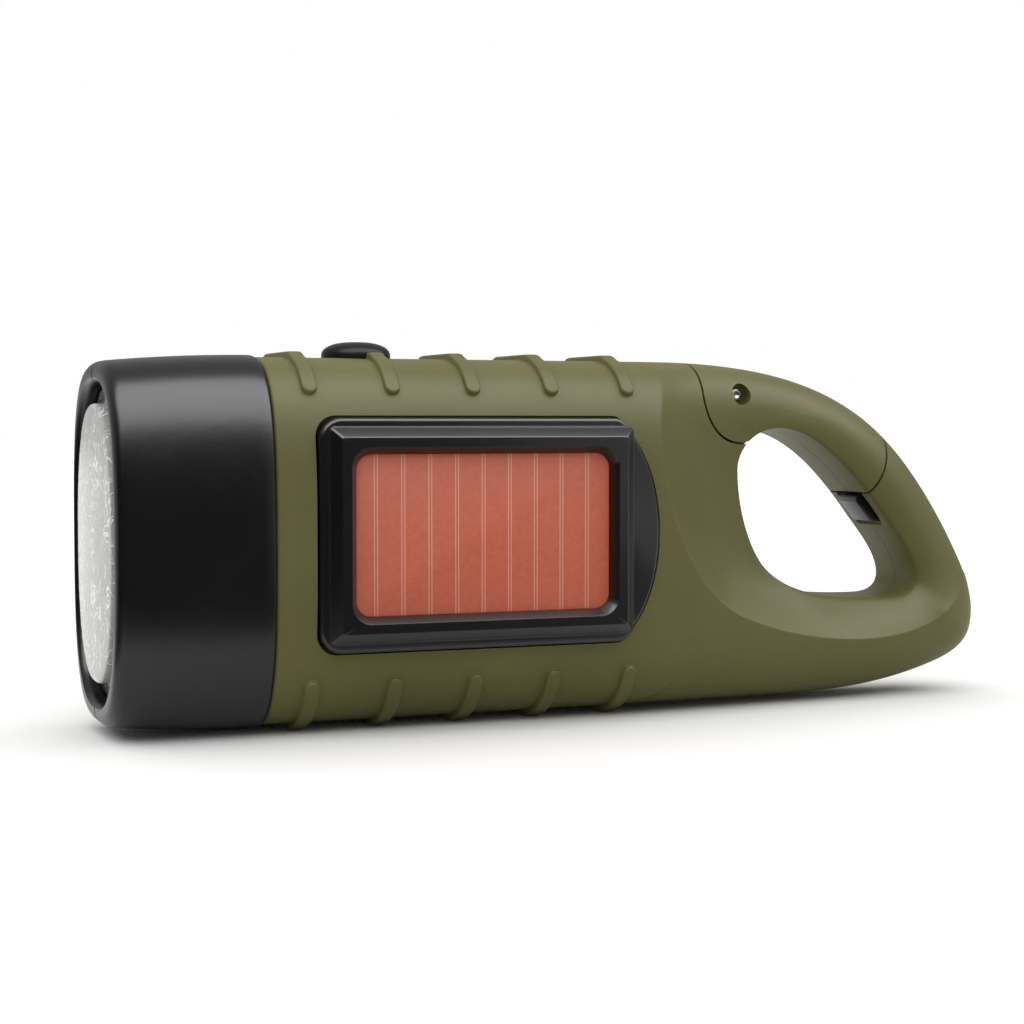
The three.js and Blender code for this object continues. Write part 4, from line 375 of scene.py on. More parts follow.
def oval(x, half_width, half_height, power, count=144):
    turn = np.linspace(0, 2 * np.pi, count, endpoint=False)
    curve = lambda value: np.sign(value) * np.abs(value) ** (2 / power)
    return np.column_stack([np.full(count, x), half_width * curve(np.cos(turn)),
                            MIDDLE + half_height * curve(np.sin(turn))])


def turned(name, profile, axis, at, count=48):
    """A profile of (radius, height) turned about an axis through a point, closed if it isn't."""
    turn = np.linspace(0, 2 * np.pi, count, endpoint=False)
    rings = []
    for radius, height in profile:
        u, v = radius * np.cos(turn), radius * np.sin(turn)
        w = np.full(count, float(height))
        ring = {"x": (w, u, v), "y": (v, w, u), "z": (u, v, w)}[axis]
        rings.append(np.column_stack(ring) + np.array(at, float))
    if profile[0] != profile[-1]:
        return loft(name, rings)
    return solid(name, np.vstack(rings), grid_faces(len(rings), count, closed=True))


def rod(diameter, low, high, axis, at, count=48):
    return turned("rod", [(diameter / 2, low), (diameter / 2, high)], axis, at, count)


def arc(center, radius, start, end, count=16):
    turn = np.radians(np.linspace(start, end, count))
    return np.column_stack([center[0] + radius * np.cos(turn), center[1] + radius * np.sin(turn)])


def rounded_rectangle(left, low, right, high, radius):
    corners = [((right - radius, low + radius), -90), ((right - radius, high - radius), 0),
               ((left + radius, high - radius), 90), ((left + radius, low + radius), 180)]
    return np.vstack([arc(center, radius, start, start + 90, 10) for center, start in corners])


def block(low, high):
    """A plain box between two corners."""
    (x0, y0, z0), (x1, y1, z1) = low, high
    return prism("block", [(x0, z0), (x1, z0), (x1, z1), (x0, z1)], y0, y1)


slots = {part["node"]: part["material_slot"] for part in frame["record"]["subparts"]}


def put(piece, body):
    """Hands a finer piece to a body of the frame, in place of the frame's own piece."""
    node = piece.name.removesuffix("_fine")
    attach(piece, body)
    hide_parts(node)
    piece["finish"] = slots[node]


# %% [markdown]
# ## One net for both shells
# Both shells and the gate come out of one closed body, so their surfaces meet exactly. Its net
# has columns along the straight body, and spokes from the hole to the rim round the tail. Each
# spoke has a point on the ridge, which keeps that line clean, and closer points near the hole
# and the rim. Their places are evened from spoke to spoke, so no crease shows.
# %% Net of the body
def hole_crossing(start, targets):
    """Where lines from a middle point outwards cross the hole's edge."""
    crossings = []
    edges, offset = np.diff(hole_line, axis=0), hole_line[:-1] - start
    for line in targets - start:
        scale = line[0] * edges[:, 1] - line[1] * edges[:, 0]
        along = (offset[:, 0] * edges[:, 1] - offset[:, 1] * edges[:, 0]) / scale
        share = (offset[:, 0] * line[1] - offset[:, 1] * line[0]) / scale
        crossings.append(start + along[(along > 0) & (share >= -1e-9) & (share <= 1)].min() * line)
    return np.array(crossings)


def evened(values, count):
    """A running mean round a closed row of values."""
    around = np.concatenate([values[-6:], values, values[:6]])
    return np.convolve(around, np.ones(count) / count, "same")[6:-6]


interface = np.column_stack([np.full(ROWS, TAIL_START), MIDDLE + body_height])
top_gap = np.column_stack([np.linspace(TAIL_START, tail_line[0, 0], 8)[1:-1], np.full(6, TOP)])
low_gap = np.column_stack([np.linspace(tail_line[-1, 0], TAIL_START, 28)[1:-1], np.full(26, FOOT)])
rim = np.vstack([interface, top_gap, tail_line, low_gap])
spoke_start = hole_crossing(HOLE_CORNER + HOLE_SIZE * [0.48, 0.5], rim)
length = np.linalg.norm(rim - spoke_start, axis=1)

probe = np.linspace(0.05, 0.97, 93)
probes = mix(spoke_start[:, None], rim[:, None], probe[None, :, None])
in_scoop = inside(scoop_area, probes.reshape(-1, 2)).reshape(len(rim), -1)
ridge = np.array([probe[row].max() if row.any() else 0.5 for row in in_scoop])
ridge = evened(np.clip(ridge, 0.3, 0.9), 5)

RIM_REACH, JOINT_REACH = 7.0, 1.0
near = np.minimum(EDGE_RADIUS, length / 3) / length
far = np.minimum(RIM_REACH, length / 3) / length
far[1 : ROWS - 1] = JOINT_REACH / length[1 : ROWS - 1]
far = evened(far, 13)
ridge = np.clip(ridge, near + 0.05, 1 - far - 0.03)
bend = np.linspace(0, 1, 12)[:, None]
stages = [near * mix(bend, 1 - np.sqrt(1 - bend**2), 0.6),
          mix(near, ridge, mix(bend, np.sin(bend * np.pi / 2), 0.6))[1:],
          mix(ridge, 1 - far, mix(bend, 1 - np.cos(bend * np.pi / 2), 0.6))[1:],
          (1 - far * (1 - bend) ** 2)[1:]]
shares = np.vstack(stages).T
places = mix(spoke_start[:, None], rim[:, None], shares[:, :, None])
depth = tail_depth(places.reshape(-1, 2)).reshape(shares.shape)
depth[:, -1] = 0
depth[:ROWS, -1] = body_depth
print("net:", len(rim), "spokes of", shares.shape[1], "points")

# %% [markdown]
# The two sides mirror each other at the seam. Rim points have no depth, so the sides meet
# there by themselves. The hole's wall and the flat end at the head are added between them.
# %% Closed body
front_inset = np.interp(columns, FRONT_EDGE, FRONT_INSETS)
out_depth = body_depth - front_inset[:, None] * body_normal[:, 0]
out_height = MIDDLE + body_height - front_inset[:, None] * body_normal[:, 1]
out_depth[:, [0, -1]] = 0
body_sheet = np.stack([np.repeat(columns[:, None], ROWS, 1), out_depth, out_height], 2)
joint = np.stack([interface[:, 0], body_depth, interface[:, 1]], 1)
joint[[0, -1], 1] = 0
body_sheet = np.concatenate([body_sheet, joint[None]])
tail_sheet = np.stack([places[:, :, 0], depth, places[:, :, 1]], 2)
tail_sheet[[0, ROWS - 1], -1, 1] = 0

points, faces = [], []
for side in (-1, 1):
    for sheet, closed in ((body_sheet, False), (tail_sheet, True)):
        rows, count = sheet.shape[:2]
        base = len(points)
        points.extend(sheet.reshape(-1, 3) * [1, side, 1])
        quads = grid_faces(rows + closed, count)
        faces.extend(tuple(base + i % (rows * count) for i in quad) for quad in quads)
half = len(points) // 2
tail_base = body_sheet.shape[0] * ROWS
width = tail_sheet.shape[1]
for r in range(len(rim)):
    a, b = tail_base + r * width, tail_base + (r + 1) % len(rim) * width
    faces.append((a, b, half + b, half + a))
faces.append(tuple(range(ROWS)) + tuple(half + i for i in range(ROWS - 2, 0, -1)))
whole = solid("whole_body", np.array(points), faces, 40)

# %% [markdown]
# ## Ribs
# A rib is a capsule that is bent over the body: a middle line along the section, with contours
# at growing distances round it. The contours' heights give it a flat crest, a small rounding
# and steep sides. Under the torch the crest is level.
# %% Ribs
RIB_FIRST, RIB_PITCH, RIB_COUNT, RIB_PROUD = 26.6, 11.75, 5, 0.75
RIB_TOP_DROP, RIB_BOTTOM_RISE, RIB_HALF = 5.4, 7.2, 1.2
RIB_CONTOURS = [(0, 0.75), (0.55, 0.75), (0.8, 0.735), (0.93, 0.69), (1.01, 0.6), (1.06, 0.46),
                (1.1, 0.22), (1.13, 0.05), (1.2, 0), (1.2, -0.5), (0, -0.5)]


def rib_points(x, reach, away, height, turn):
    """Points of one contour: `reach` runs both ways from the seam along the section."""
    inner = reach - RIB_HALF
    side = np.linspace(-inner, inner, 61)
    ends = np.radians(np.linspace(-90, 90, 13)[1:-1])
    along = np.concatenate([side, inner + away * np.cos(ends),
                            side[::-1], -inner - away * np.cos(ends)])
    aside = np.concatenate([np.full(61, -away), away * np.sin(ends),
                            np.full(61, away), -away * np.sin(ends)])
    place = np.abs(along) if turn < 0 else dense_along[-1] - np.abs(along)
    depth, up, normal = section_at(place)
    level = smooth_step(7.5, 5.5, depth) * (HEIGHT / 2 - np.abs(up)) * max(height, 0) / RIB_PROUD
    depth = np.sign(along) * (depth + height * normal[:, 0] * (1 - smooth_step(2, 0, depth)))
    return np.column_stack([x + aside, depth, MIDDLE + up + height * normal[:, 1] + turn * level])


def rib(x, turn):
    """One rib, over the top (1) or under the bottom (-1)."""
    drop = RIB_TOP_DROP if turn > 0 else RIB_BOTTOM_RISE
    end = np.interp(HEIGHT / 2 - drop, dense_height, dense_along)
    rings = [rib_points(x, dense_along[-1] - end, *contour, turn) for contour in RIB_CONTOURS]
    faces = grid_faces(len(rings), len(rings[0]), closed=True)
    return solid("rib", np.vstack(rings), faces, 40)


for x in RIB_FIRST + RIB_PITCH * np.arange(RIB_COUNT):
    join(whole, rib(x, 1), rib(x, -1), sharp=40)

# %% [markdown]
# ## Cuts that the pieces share
# The gate leaves a room between the loop's ends, a hair wider than itself. The bezel's pocket
# and the latch tongue's room are the same outlines as those pieces, with a clearance. Near each
# face a thin lip on the gate's round end closes the view through its seam.
# %% Shared outlines
PIVOT = np.array([95.3, 46.7])
PIN_AT = (PIVOT[0], 0, PIVOT[1])
HUB_RADIUS, GATE_REACH, GATE_SEAM = 7.3, 27.6, 0.19
BUTTON_X = 37.3


def gate_outline(grow):
    hub, reach = HUB_RADIUS + grow, GATE_REACH + grow
    return np.vstack([arc(PIVOT, hub, -69.9, -180, 40), [(PIVOT[0] - hub, TOP + 3),
                      (PIVOT[0] + reach, TOP + 3)], arc(PIVOT, reach, 0, math.degrees(-0.6233), 30),
                      HOLE_CORNER + HOLE_SIZE * [0.3, 0.6]])


BEZEL_LEFT, BEZEL_LENGTH, BEZEL_BULGE, BEZEL_SLANT = 27.1, 50.5, 5.4, 0.5
BEZEL_HEIGHT, BEZEL_CORNER = 31.6, 3.0
BEZEL_LOW = MIDDLE + 1.2 - BEZEL_HEIGHT / 2


def quadratic(a, b, c, steps):
    share = np.linspace(0, 1, steps)[:, None]
    a, b, c = map(np.array, (a, b, c))
    return (1 - share) ** 2 * a + 2 * share * (1 - share) * b + share**2 * c


def bezel_outline(inset):
    """A rounded rectangle whose right end bulges out."""
    left, right = BEZEL_LEFT + inset, BEZEL_LEFT + BEZEL_LENGTH - BEZEL_BULGE - inset
    low = BEZEL_LOW + inset
    high = low + BEZEL_HEIGHT - 2 * inset
    corner, bend = BEZEL_CORNER, BEZEL_BULGE * 4 / 3 - BEZEL_CORNER / 3
    side_low = (right + corner / 3, low + corner * 0.7)
    side_high = (right - BEZEL_SLANT + corner / 3, high - corner * 0.7)
    bulge = bezier_line([side_low, (right + bend, low + (high - low) * 0.27),
                         (right + bend + BEZEL_SLANT / 2, high - (high - low) * 0.29), side_high],
                        np.zeros(2), np.ones(2), 28)
    return np.vstack([arc((left + corner, high - corner), corner, 90, 180, 12),
                      arc((left + corner, low + corner), corner, 180, 270, 12),
                      quadratic((right - corner / 2, low), (right, low), side_low, 8)[:-1], bulge,
                      quadratic(side_high, (right - BEZEL_SLANT, high),
                                (right - BEZEL_SLANT - corner / 2, high), 8)[1:]])


TIP_TURN = -0.5833
GATE_TIP = PIVOT + GATE_REACH * np.array([math.cos(TIP_TURN), math.sin(TIP_TURN)])
WALL_DOWN = np.array([0.636, -0.772])
WALL_IN = np.array([0.772, 0.636])
TONGUE = [(0.3, -0.5), (1.0, -0.95), (5.0, -0.8), (5.8, -0.1), (5.8, 2.2), (3.6, 3.2), (0.6, 4.2),
          (-5.5, 4.2), (-5.5, 2.3), (0.3, 2.3)]
TONGUE_HALF = 2.7
LIP_RADIUS, LIP_LOW, LIP_HIGH, LIP_START = HUB_RADIUS + 0.6, 4.4, 6.3, -71


def sector(radius, start, end, count=16):
    """A slice of a disc about the gate's pin."""
    return np.vstack([arc(PIVOT, radius, start, end, count), [PIVOT]])


def span(side, near, far):
    """The lower and the upper end of a stretch of y on one side of the seam."""
    return sorted((side * near, side * far))


def seam_lip(side, grow, end):
    """The lip on the gate's round end, by the hole, as far round as an angle in degrees."""
    return prism("seam_lip", sector(LIP_RADIUS + grow, LIP_START + 5 * grow, end),
                 *span(side, LIP_LOW - grow, LIP_HIGH + grow))


def tongue_outline(grow, swing=0.0):
    """The tongue in side view, turned open with the gate by an angle in degrees."""
    area = np.array([GATE_TIP + down * WALL_DOWN + inwards * WALL_IN for down, inwards in TONGUE])
    edge = np.roll(area, -1, axis=0) - area
    edge /= np.linalg.norm(edge, axis=1)[:, None]
    side = np.column_stack([edge[:, 1], -edge[:, 0]])
    before = np.roll(side, 1, axis=0)
    out = (side + before) / (1 + np.sum(side * before, axis=1))[:, None].clip(0.4)
    corners = area + out * grow - PIVOT
    turn = -math.radians(swing)
    turning = np.array([[math.cos(turn), -math.sin(turn)], [math.sin(turn), math.cos(turn)]])
    return PIVOT + corners @ turning.T


# %% [markdown]
# ## Shells
# Each shell is its side of the whole body, hollowed, with the head's collar, the screw towers
# and the gate's lug inside. The crank shell also has the round boss that the crank turns in.
# %% Shells
CAVITY = {-1: 12.0, 1: 14.2}
COLLAR_WIDTH, COLLAR_HEIGHT, HEAD_POWER = 14, 23.2, 3.1
TOWERS = [(26.9, MIDDLE - 15.8), (26.9, MIDDLE + 15.8), (60.2, MIDDLE - 18.8),
          (72.8, MIDDLE + 14.6)]
TOWER_LIMIT = {-1: 13.0, 1: 13.8}
TOWER_RADIUS, SKIN = 3.2, 0.9
SCREWS = TOWERS + [(112.2, MIDDLE - 18.4)]
SCREW_BORE, SCREW_SEAT, PIN_BORE, SHAFT_BORE, BOSS, BUTTON_HOLE = 2.6, 4.6, 2.16, 8.16, 14, 10
CRANK_AT = (38, 0, MIDDLE)
LUG_RADIUS, LUG_HALF, LUG_SLACK = 9.3, 3.2, 4.6
LUG_START, LUG_END = math.degrees(1.08 * math.pi), math.degrees(1.35 * math.pi)
BIG = 90


def half_block(side):
    low, high = span(side, SEAM, BIG)
    return block((-BIG, low, -BIG), (2 * BIG, high, BIG))


def cavity_outline(side):
    height = body_height * (HEIGHT / 2 - 2) / (HEIGHT / 2)
    reach = np.minimum(CAVITY[side], 14.2 * body_depth / (THICKNESS / 2))
    line = np.column_stack([side * reach, MIDDLE + height])[1:-1:2]
    return np.vstack([line, [(-side * 3, line[-1, 1]), (-side * 3, line[0, 1])]])


def collar(inset, start, end):
    return loft("collar", [oval(x, COLLAR_WIDTH - inset, COLLAR_HEIGHT - inset, HEAD_POWER, 96)
                           for x in (start, end)])


def face_depth(x, z):
    if x > TAIL_START:
        return float(tail_depth(np.array([[x, z]]))[0])
    return float(THICKNESS / 2 * arch((HEIGHT / 2 - abs(z - MIDDLE)) / (HEIGHT / 2), SECTION_POWER))


def shell(name, side):
    made = common(copy_of(whole, name), half_block(side), sharp=40)
    join(made, common(collar(0, 15.3, 23.3), half_block(side)))
    cut(made, prism("cavity", cavity_outline(side), 23.3, 77.1, "x"), collar(2, 0, 26))
    room = join(prism("gate_room", gate_outline(GATE_SEAM), -BIG, BIG), seam_lip(side, 0.2, -132))
    notches = [prism("notch", tongue_outline(0.45, swing), -3.8, 3.8, soft=0.9)
               for swing in (0, 4, 8)]
    cut(made, room, *notches, rod(BUTTON_HOLE, TOP - 4, TOP + 8, "z", (BUTTON_X, 0, 0), 64))
    for x, z in TOWERS:
        reach = min(face_depth(x, z - TOWER_RADIUS), face_depth(x, z + TOWER_RADIUS)) - SKIN
        tower = span(side, SEAM, min(TOWER_LIMIT[side], reach))
        join(made, rod(2 * TOWER_RADIUS, *tower, "y", (x, 0, z), 32))
    lug = span(side, 1.5, 2.9)
    join(made, prism("lug_bar", sector(LUG_RADIUS, LUG_START, LUG_END), *lug),
         rod(6.4, *lug, "y", PIN_AT))
    return made


solar_shell = shell("solar_shell_fine", -1)
cut(solar_shell, prism("pocket", bezel_outline(-0.3), -20, -13.6),
    *[rod(SCREW_BORE, -9, 1, "y", (x, 0, z), 24) for x, z in SCREWS],
    rod(PIN_BORE, -17, 0, "y", PIN_AT, 24), sharp=30)
crank_shell = shell("crank_shell_fine", 1)
join(crank_shell, softened(rod(BOSS, 13.2, 16.9, "y", CRANK_AT, 96), 0.3, angle=60))
cut(crank_shell, rod(SHAFT_BORE, 0, 17.4, "y", CRANK_AT, 64),
    *[rod(SCREW_BORE, -3, 16.2, "y", (x, 0, z), 24) for x, z in SCREWS],
    *[rod(SCREW_SEAT, face_depth(x, z) - 2.8, 19.2, "y", (x, 0, z), 32) for x, z in SCREWS],
    rod(PIN_BORE, 0, 17, "y", PIN_AT, 24), sharp=30)
put(solar_shell, "housing")
put(crank_shell, "housing")
print("shells:", len(solar_shell.data.polygons), len(crank_shell.data.polygons), "faces")

# %% [markdown]
# ## Gate
# The gate is the piece of the loop between its two cuts, in two halves on a pin with dished
# ends. It is hollowed for the shells' lugs and for its swing. A groove inside takes the latch
# tongue, a block of black plastic with soft edges.
# %% Gate and latch tongue
GATE_SWING = 28
swept = sector(LUG_RADIUS + 1, LUG_START - LUG_SLACK, LUG_END + GATE_SWING + LUG_SLACK, 30)
for name, side in (("gate_near", -1), ("gate_far", 1)):
    half_gate = common(copy_of(whole, name + "_fine"), half_block(side), sharp=40)
    gate_area = join(prism("gate", gate_outline(-GATE_SEAM), -BIG, BIG), seam_lip(side, 0, -100))
    common(half_gate, gate_area)
    cut(half_gate, prism("swept", swept, -LUG_HALF, LUG_HALF),
        rod(7, -LUG_HALF, LUG_HALF, "y", PIN_AT),
        prism("tongue_room", tongue_outline(0.3), -TONGUE_HALF - 0.3, TONGUE_HALF + 0.3),
        rod(PIN_BORE, -17, 17, "y", PIN_AT, 32))
    cut(half_gate, rod(3.3, *span(side, 5.1, 17), "y", PIN_AT), sharp=30)
    put(half_gate, "gate")
put(prism("latch_tongue_fine", tongue_outline(0), -TONGUE_HALF, TONGUE_HALF, soft=0.25), "gate")

PIN_HALF = LOOP_HALF - 1.7
DIMPLE = [(0.03, 0.22), (0.2, 0.2), (0.34, 0.1), (0.42, 0.02), (0.5, 0), (0.68, 0), (0.8, 0.04),
          (0.92, 0.14), (1.0, 0.32)]
pin_profile = [(radius, dip - PIN_HALF) for radius, dip in DIMPLE]
pin_profile += [(radius, PIN_HALF - dip) for radius, dip in DIMPLE[::-1]]
put(turned("gate_pin_fine", pin_profile, "y", PIN_AT), "housing")
bpy.data.objects.remove(whole)

# %% [markdown]
# ## Head
# The head is two covers that narrow towards a rounded lip. A small notch marks their seam on
# the lip. Behind the lip sit the lens, the reflector and three lamps.
# %% Head covers
HEAD_WIDTH, HEAD_HEIGHT = 16.5, 25.7
LIP, HEAD_BACK, BACK_ROUND = 1.6, HEAD_END - 0.15, 0.35
OPENING_POWER = 2.7


def head_ring(x, inset):
    taper = 1.1 * (1 - x / HEAD_END) ** 2
    return oval(x, HEAD_WIDTH - inset, HEAD_HEIGHT - inset - taper, HEAD_POWER, 200)


lip_turn = np.radians(np.linspace(0, 90, 10))
head_rings = [head_ring(LIP * (1 - math.cos(t)), LIP * (1 - math.sin(t))) for t in lip_turn]
head_rings += [head_ring(x, 0) for x in np.linspace(LIP, HEAD_BACK - BACK_ROUND, 14)[1:]]
head_rings += [head_ring(HEAD_BACK + BACK_ROUND * (math.sin(t) - 1), BACK_ROUND * (1 - math.cos(t)))
               for t in np.radians([30, 60, 90])]
head_whole = loft("head_whole", head_rings, 40)
opening = [oval(x, 14.55 + flare, 21.75 + flare, OPENING_POWER, 200)
           for x, flare in ((-3, 3.6), (-0.1, 0.75), (0.2, 0.4), (0.6, 0.12), (1.1, 0), (4.1, 0))]
cut(head_whole, loft("opening", opening),
    loft("hollow", [oval(x, 12.95, 20.15, OPENING_POWER, 96) for x in (1.1, 18)]),
    collar(-0.3, 15, 25),
    block((-2, -0.2, 0), (0.5, 0.2, 60)), sharp=34)
for name, side in (("head_cover_near", -1), ("head_cover_far", 1)):
    put(common(copy_of(head_whole, name + "_fine"), half_block(side), sharp=34), "housing")
bpy.data.objects.remove(head_whole)

# %% [markdown]
# ## Lens
# The lens is a low dome of clear plastic with a rounded shoulder. A solid dome would show the
# reflector through a thick block, so it is a shell with an even wall.
# %% Lens
LENS_WIDTH, LENS_HEIGHT, LENS_POWER = 12.4, 18.6, 2.5
LENS_EDGE, LENS_DOME, LENS_WALL, LENS_BACK = 0.1, 0.4, 0.9, 1.9
LENS_SHOULDER, INNER_INSET = 0.35, 0.5


def lens_ring(x, inset=0.0, share=1.0):
    return oval(x, (LENS_WIDTH - inset) * share, (LENS_HEIGHT - inset) * share, LENS_POWER)


def dome(x_edge, shares, inset=0.0):
    return [lens_ring(x_edge - LENS_DOME * (1 - share**2), inset, share) for share in shares]


shoulder = [lens_ring(LENS_EDGE + LENS_SHOULDER * (1 - math.cos(t)), -LENS_SHOULDER * math.sin(t))
            for t in np.radians([30, 60, 90])]
back = [lens_ring(LENS_BACK, -LENS_SHOULDER), lens_ring(LENS_BACK, INNER_INSET)]
lens = loft("lens_fine", [
    *dome(LENS_EDGE, (0.04, *np.linspace(0.15, 0.95, 10), 1)), *shoulder, *back,
    *dome(LENS_EDGE + LENS_WALL, (1, *np.linspace(0.9, 0.04, 8)), INNER_INSET)], 40)
put(lens, "housing")

# %% [markdown]
# ## Reflector and lamps
# The reflector is a silvered plate with a bowl round each lamp.
# %% Reflector and lamps
FLANGE_X, REFLECTOR_DEPTH = 2.2, 8.4
LAMPS = [MIDDLE - 12.7, MIDDLE, MIDDLE + 12.7]
LAMP_RADIUS, COLLAR_RADIUS = 2.4, 2.9
flange, basin = [loft(name, [oval(x, width, height, OPENING_POWER) for x in (FLANGE_X, x_end)])
                 for name, width, height, x_end in (("reflector_fine", 13.95, 21.15, 3.0),
                                                    ("basin", 11.85, 19.05, 10.6))]
reflector = join(flange, basin)
bowl_x = np.linspace(0, REFLECTOR_DEPTH, 12)
bowl_r = 6.1 * np.sqrt(1 - 0.8064 * bowl_x / REFLECTOR_DEPTH)
bowl = [(6.3, -0.6)] + list(zip(bowl_r, bowl_x)) + [(2.684, REFLECTOR_DEPTH + 2)]
for z in LAMPS:
    cut(reflector, turned("bowl", bowl, "x", (FLANGE_X, 0, z), 72), sharp=40)
put(reflector, "housing")
lamp_profile = [(LAMP_RADIUS * math.sin(t), LAMP_RADIUS - LAMP_RADIUS * math.cos(t))
                for t in np.radians([4, 20, 40, 60, 80, 90])]
lamp_profile += [(LAMP_RADIUS, 5.9), (COLLAR_RADIUS, 5.9), (COLLAR_RADIUS, 6.4)]
for i, z in enumerate(LAMPS):
    put(turned(f"led_{i + 1}_fine", lamp_profile, "x", (5.0, 0, z)), "housing")

# %% [markdown]
# ## Solar panel
# The bezel has a bulging right end. On its plate lie a low step and a slope that rises to a
# crest round the window. Plate and step are softened with the Bevel modifier before they are
# joined, so each keeps a highlight of its own. The cell lies in the window.
# %% Bezel and cell
STEP_END = 3.5
SLOPE = [(1.3, -16), (1.3, -16.98), (1.36, -17.1), (2.5, -18.16), (2.56, -18.24), (2.66, -18.3)]
WINDOW = [(2.3, 4.2, -20), (3.9, 2.8, -18.36), (4.02, 2.7, -18.2), (4.86, 2.1, -17.0),
          (4.9, 2.1, -16.8), (4.9, 2.1, -14.8)]


def bezel_rectangle(inset, corner):
    left, low = BEZEL_LEFT + inset, BEZEL_LOW + inset
    right = BEZEL_LEFT + BEZEL_LENGTH - STEP_END - inset
    return rounded_rectangle(left, low, right, low + BEZEL_HEIGHT - 2 * inset, corner)


def bezel_loft(name, levels):
    """A loft through rounded rectangles, each with an inset, a corner radius and a y."""
    return loft(name, [np.insert(bezel_rectangle(inset, corner), 1, y, axis=1)
                       for inset, corner, y in levels], 25)


bezel = prism("solar_bezel_fine", bezel_outline(0), -16.85, -13.9, soft=0.55, segments=4)
join(bezel, prism("first_step", bezel_rectangle(1.15, 0.9), -17.0, -15.9, soft=0.12),
     bezel_loft("slope", [(inset, 0.35, y) for inset, y in SLOPE]))
cut(bezel, bezel_loft("window", WINDOW), sharp=25)
put(bezel, "housing")
put(prism("solar_cell_fine", bezel_rectangle(4.75, 1.9), -16.7, -15.9, soft=0.12, segments=2),
    "housing")

# %% [markdown]
# ## Push button
# The button is a full dome over a short straight wall, held under the shell by its flange.
# %% Button
BUTTON_RADIUS, BUTTON_RISE, BUTTON_WALL = 4.9, 2.35, 0.42
FLANGE_RADIUS, FLANGE_TOP = 5.8, 48.617
button_profile = [(1.3, FLANGE_TOP - 3.1), (1.3, FLANGE_TOP - 1.1),
                  (FLANGE_RADIUS, FLANGE_TOP - 1.1), (FLANGE_RADIUS, FLANGE_TOP),
                  (BUTTON_RADIUS, FLANGE_TOP), (BUTTON_RADIUS, TOP + BUTTON_WALL)]
button_profile += [(BUTTON_RADIUS * math.cos(t) ** 0.8,
                    TOP + BUTTON_WALL + (BUTTON_RISE - BUTTON_WALL) * math.sin(t) ** 0.9)
                   for t in np.radians([8, 16, 25, 34, 43, 52, 61, 70, 78, 85, 89])]
put(turned("power_button_fine", button_profile, "z", (BUTTON_X, 0, 0), 72), "button")

# %% [markdown]
# ## Crank
# The arm is a flat bar with soft edges, a slot for the folded knob, a pin bore and a seat for
# its screw. The knob's sleeve is waisted, and shallow grooves round it give grip.
# %% Crank arm and knob
ARM_BACK, ARM_FRONT, HINGE_X = 17.4, 21.4, 72.0
ARM_ROOT, ARM_TIP, SLOT_HALF = 7.5, 6.7, 3.85
tilt = math.degrees(math.asin((ARM_ROOT - ARM_TIP) / (HINGE_X - CRANK_AT[0])))
arm_line = np.vstack([arc((CRANK_AT[0], MIDDLE), ARM_ROOT, 90 - tilt, 270 + tilt, 40),
                      arc((HINGE_X, MIDDLE), ARM_TIP, -90 + tilt, 90 - tilt, 32)])
arm = prism("crank_arm_fine", arm_line, ARM_BACK, ARM_FRONT, soft=0.8, segments=4)
cut(arm, block((49.9, 14, MIDDLE - SLOT_HALF), (86, 25, MIDDLE + SLOT_HALF)),
    rod(PIN_BORE, 0, 60, "z", (HINGE_X, 19.4, 0), 32), rod(SCREW_SEAT, 20.07, 25, "y", CRANK_AT),
    rod(SCREW_BORE, 0, 25, "y", CRANK_AT), rod(5.6, 0, 19.3, "y", CRANK_AT), sharp=30)
put(arm, "crank")

SLEEVE_HALF, SLEEVE_RADIUS, SLEEVE_BORE = 8.1, 3.6, 1.76
GROOVE_DEPTH, GROOVE_PITCH, GROOVE_REACH = 0.16, 1.5, 6
along = np.linspace(-SLEEVE_HALF, SLEEVE_HALF, 61)
waist = SLEEVE_RADIUS * (0.9 + 0.1 * (along / 7) ** 2).clip(None, 1)
waist -= 0.5 * smooth_step(SLEEVE_HALF - 0.8, SLEEVE_HALF, np.abs(along)) ** 2
groove = GROOVE_DEPTH * np.maximum(0, np.cos(along * 2 * np.pi / GROOVE_PITCH)) ** 2
groove *= np.abs(along) < GROOVE_REACH
sleeve_profile = [(SLEEVE_BORE, -SLEEVE_HALF), *zip(waist - groove, along),
                  (SLEEVE_BORE, SLEEVE_HALF), (SLEEVE_BORE, -SLEEVE_HALF)]
put(turned("knob_sleeve_fine", sleeve_profile, "x", (59.4, 21.0, MIDDLE)), "knob_sleeve")

# %% [markdown]
# ## Finishes in nodes
# Shader maths reads better as Python than as a chain of calls. `Value` wraps a socket, and its
# operators add Math nodes. `Finish.node` makes any other node.
# %% Shader helpers
class Value:
    """A node's output that adds Math nodes when it is used in arithmetic."""

    def __init__(self, finish, socket):
        self.finish, self.socket = finish, socket

    def _math(self, operation, first, second):
        return self.finish.node("Math", {"operation": operation}, {0: first, 1: second})

    def __add__(self, other):
        return self._math("ADD", self, other)

    __radd__ = __add__

    def __sub__(self, other):
        return self._math("SUBTRACT", self, other)

    def __rsub__(self, other):
        return self._math("SUBTRACT", other, self)

    def __mul__(self, other):
        return self._math("MULTIPLY", self, other)

    def apart(self, other):
        """How far this value is from another, either way."""
        return self._math("ABSOLUTE", self - other, 0)

    def larger(self, other):
        return self._math("MAXIMUM", self, other)

    def ramp(self, low, high, to_low=0.0, to_high=1.0):
        """Runs smoothly between two numbers while this value goes from low to high."""
        settings = {"interpolation_type": "SMOOTHSTEP"}
        sockets = {"Value": self, "From Min": low, "From Max": high, "To Min": to_low,
                   "To Max": to_high}
        return self.finish.node("MapRange", settings, sockets)


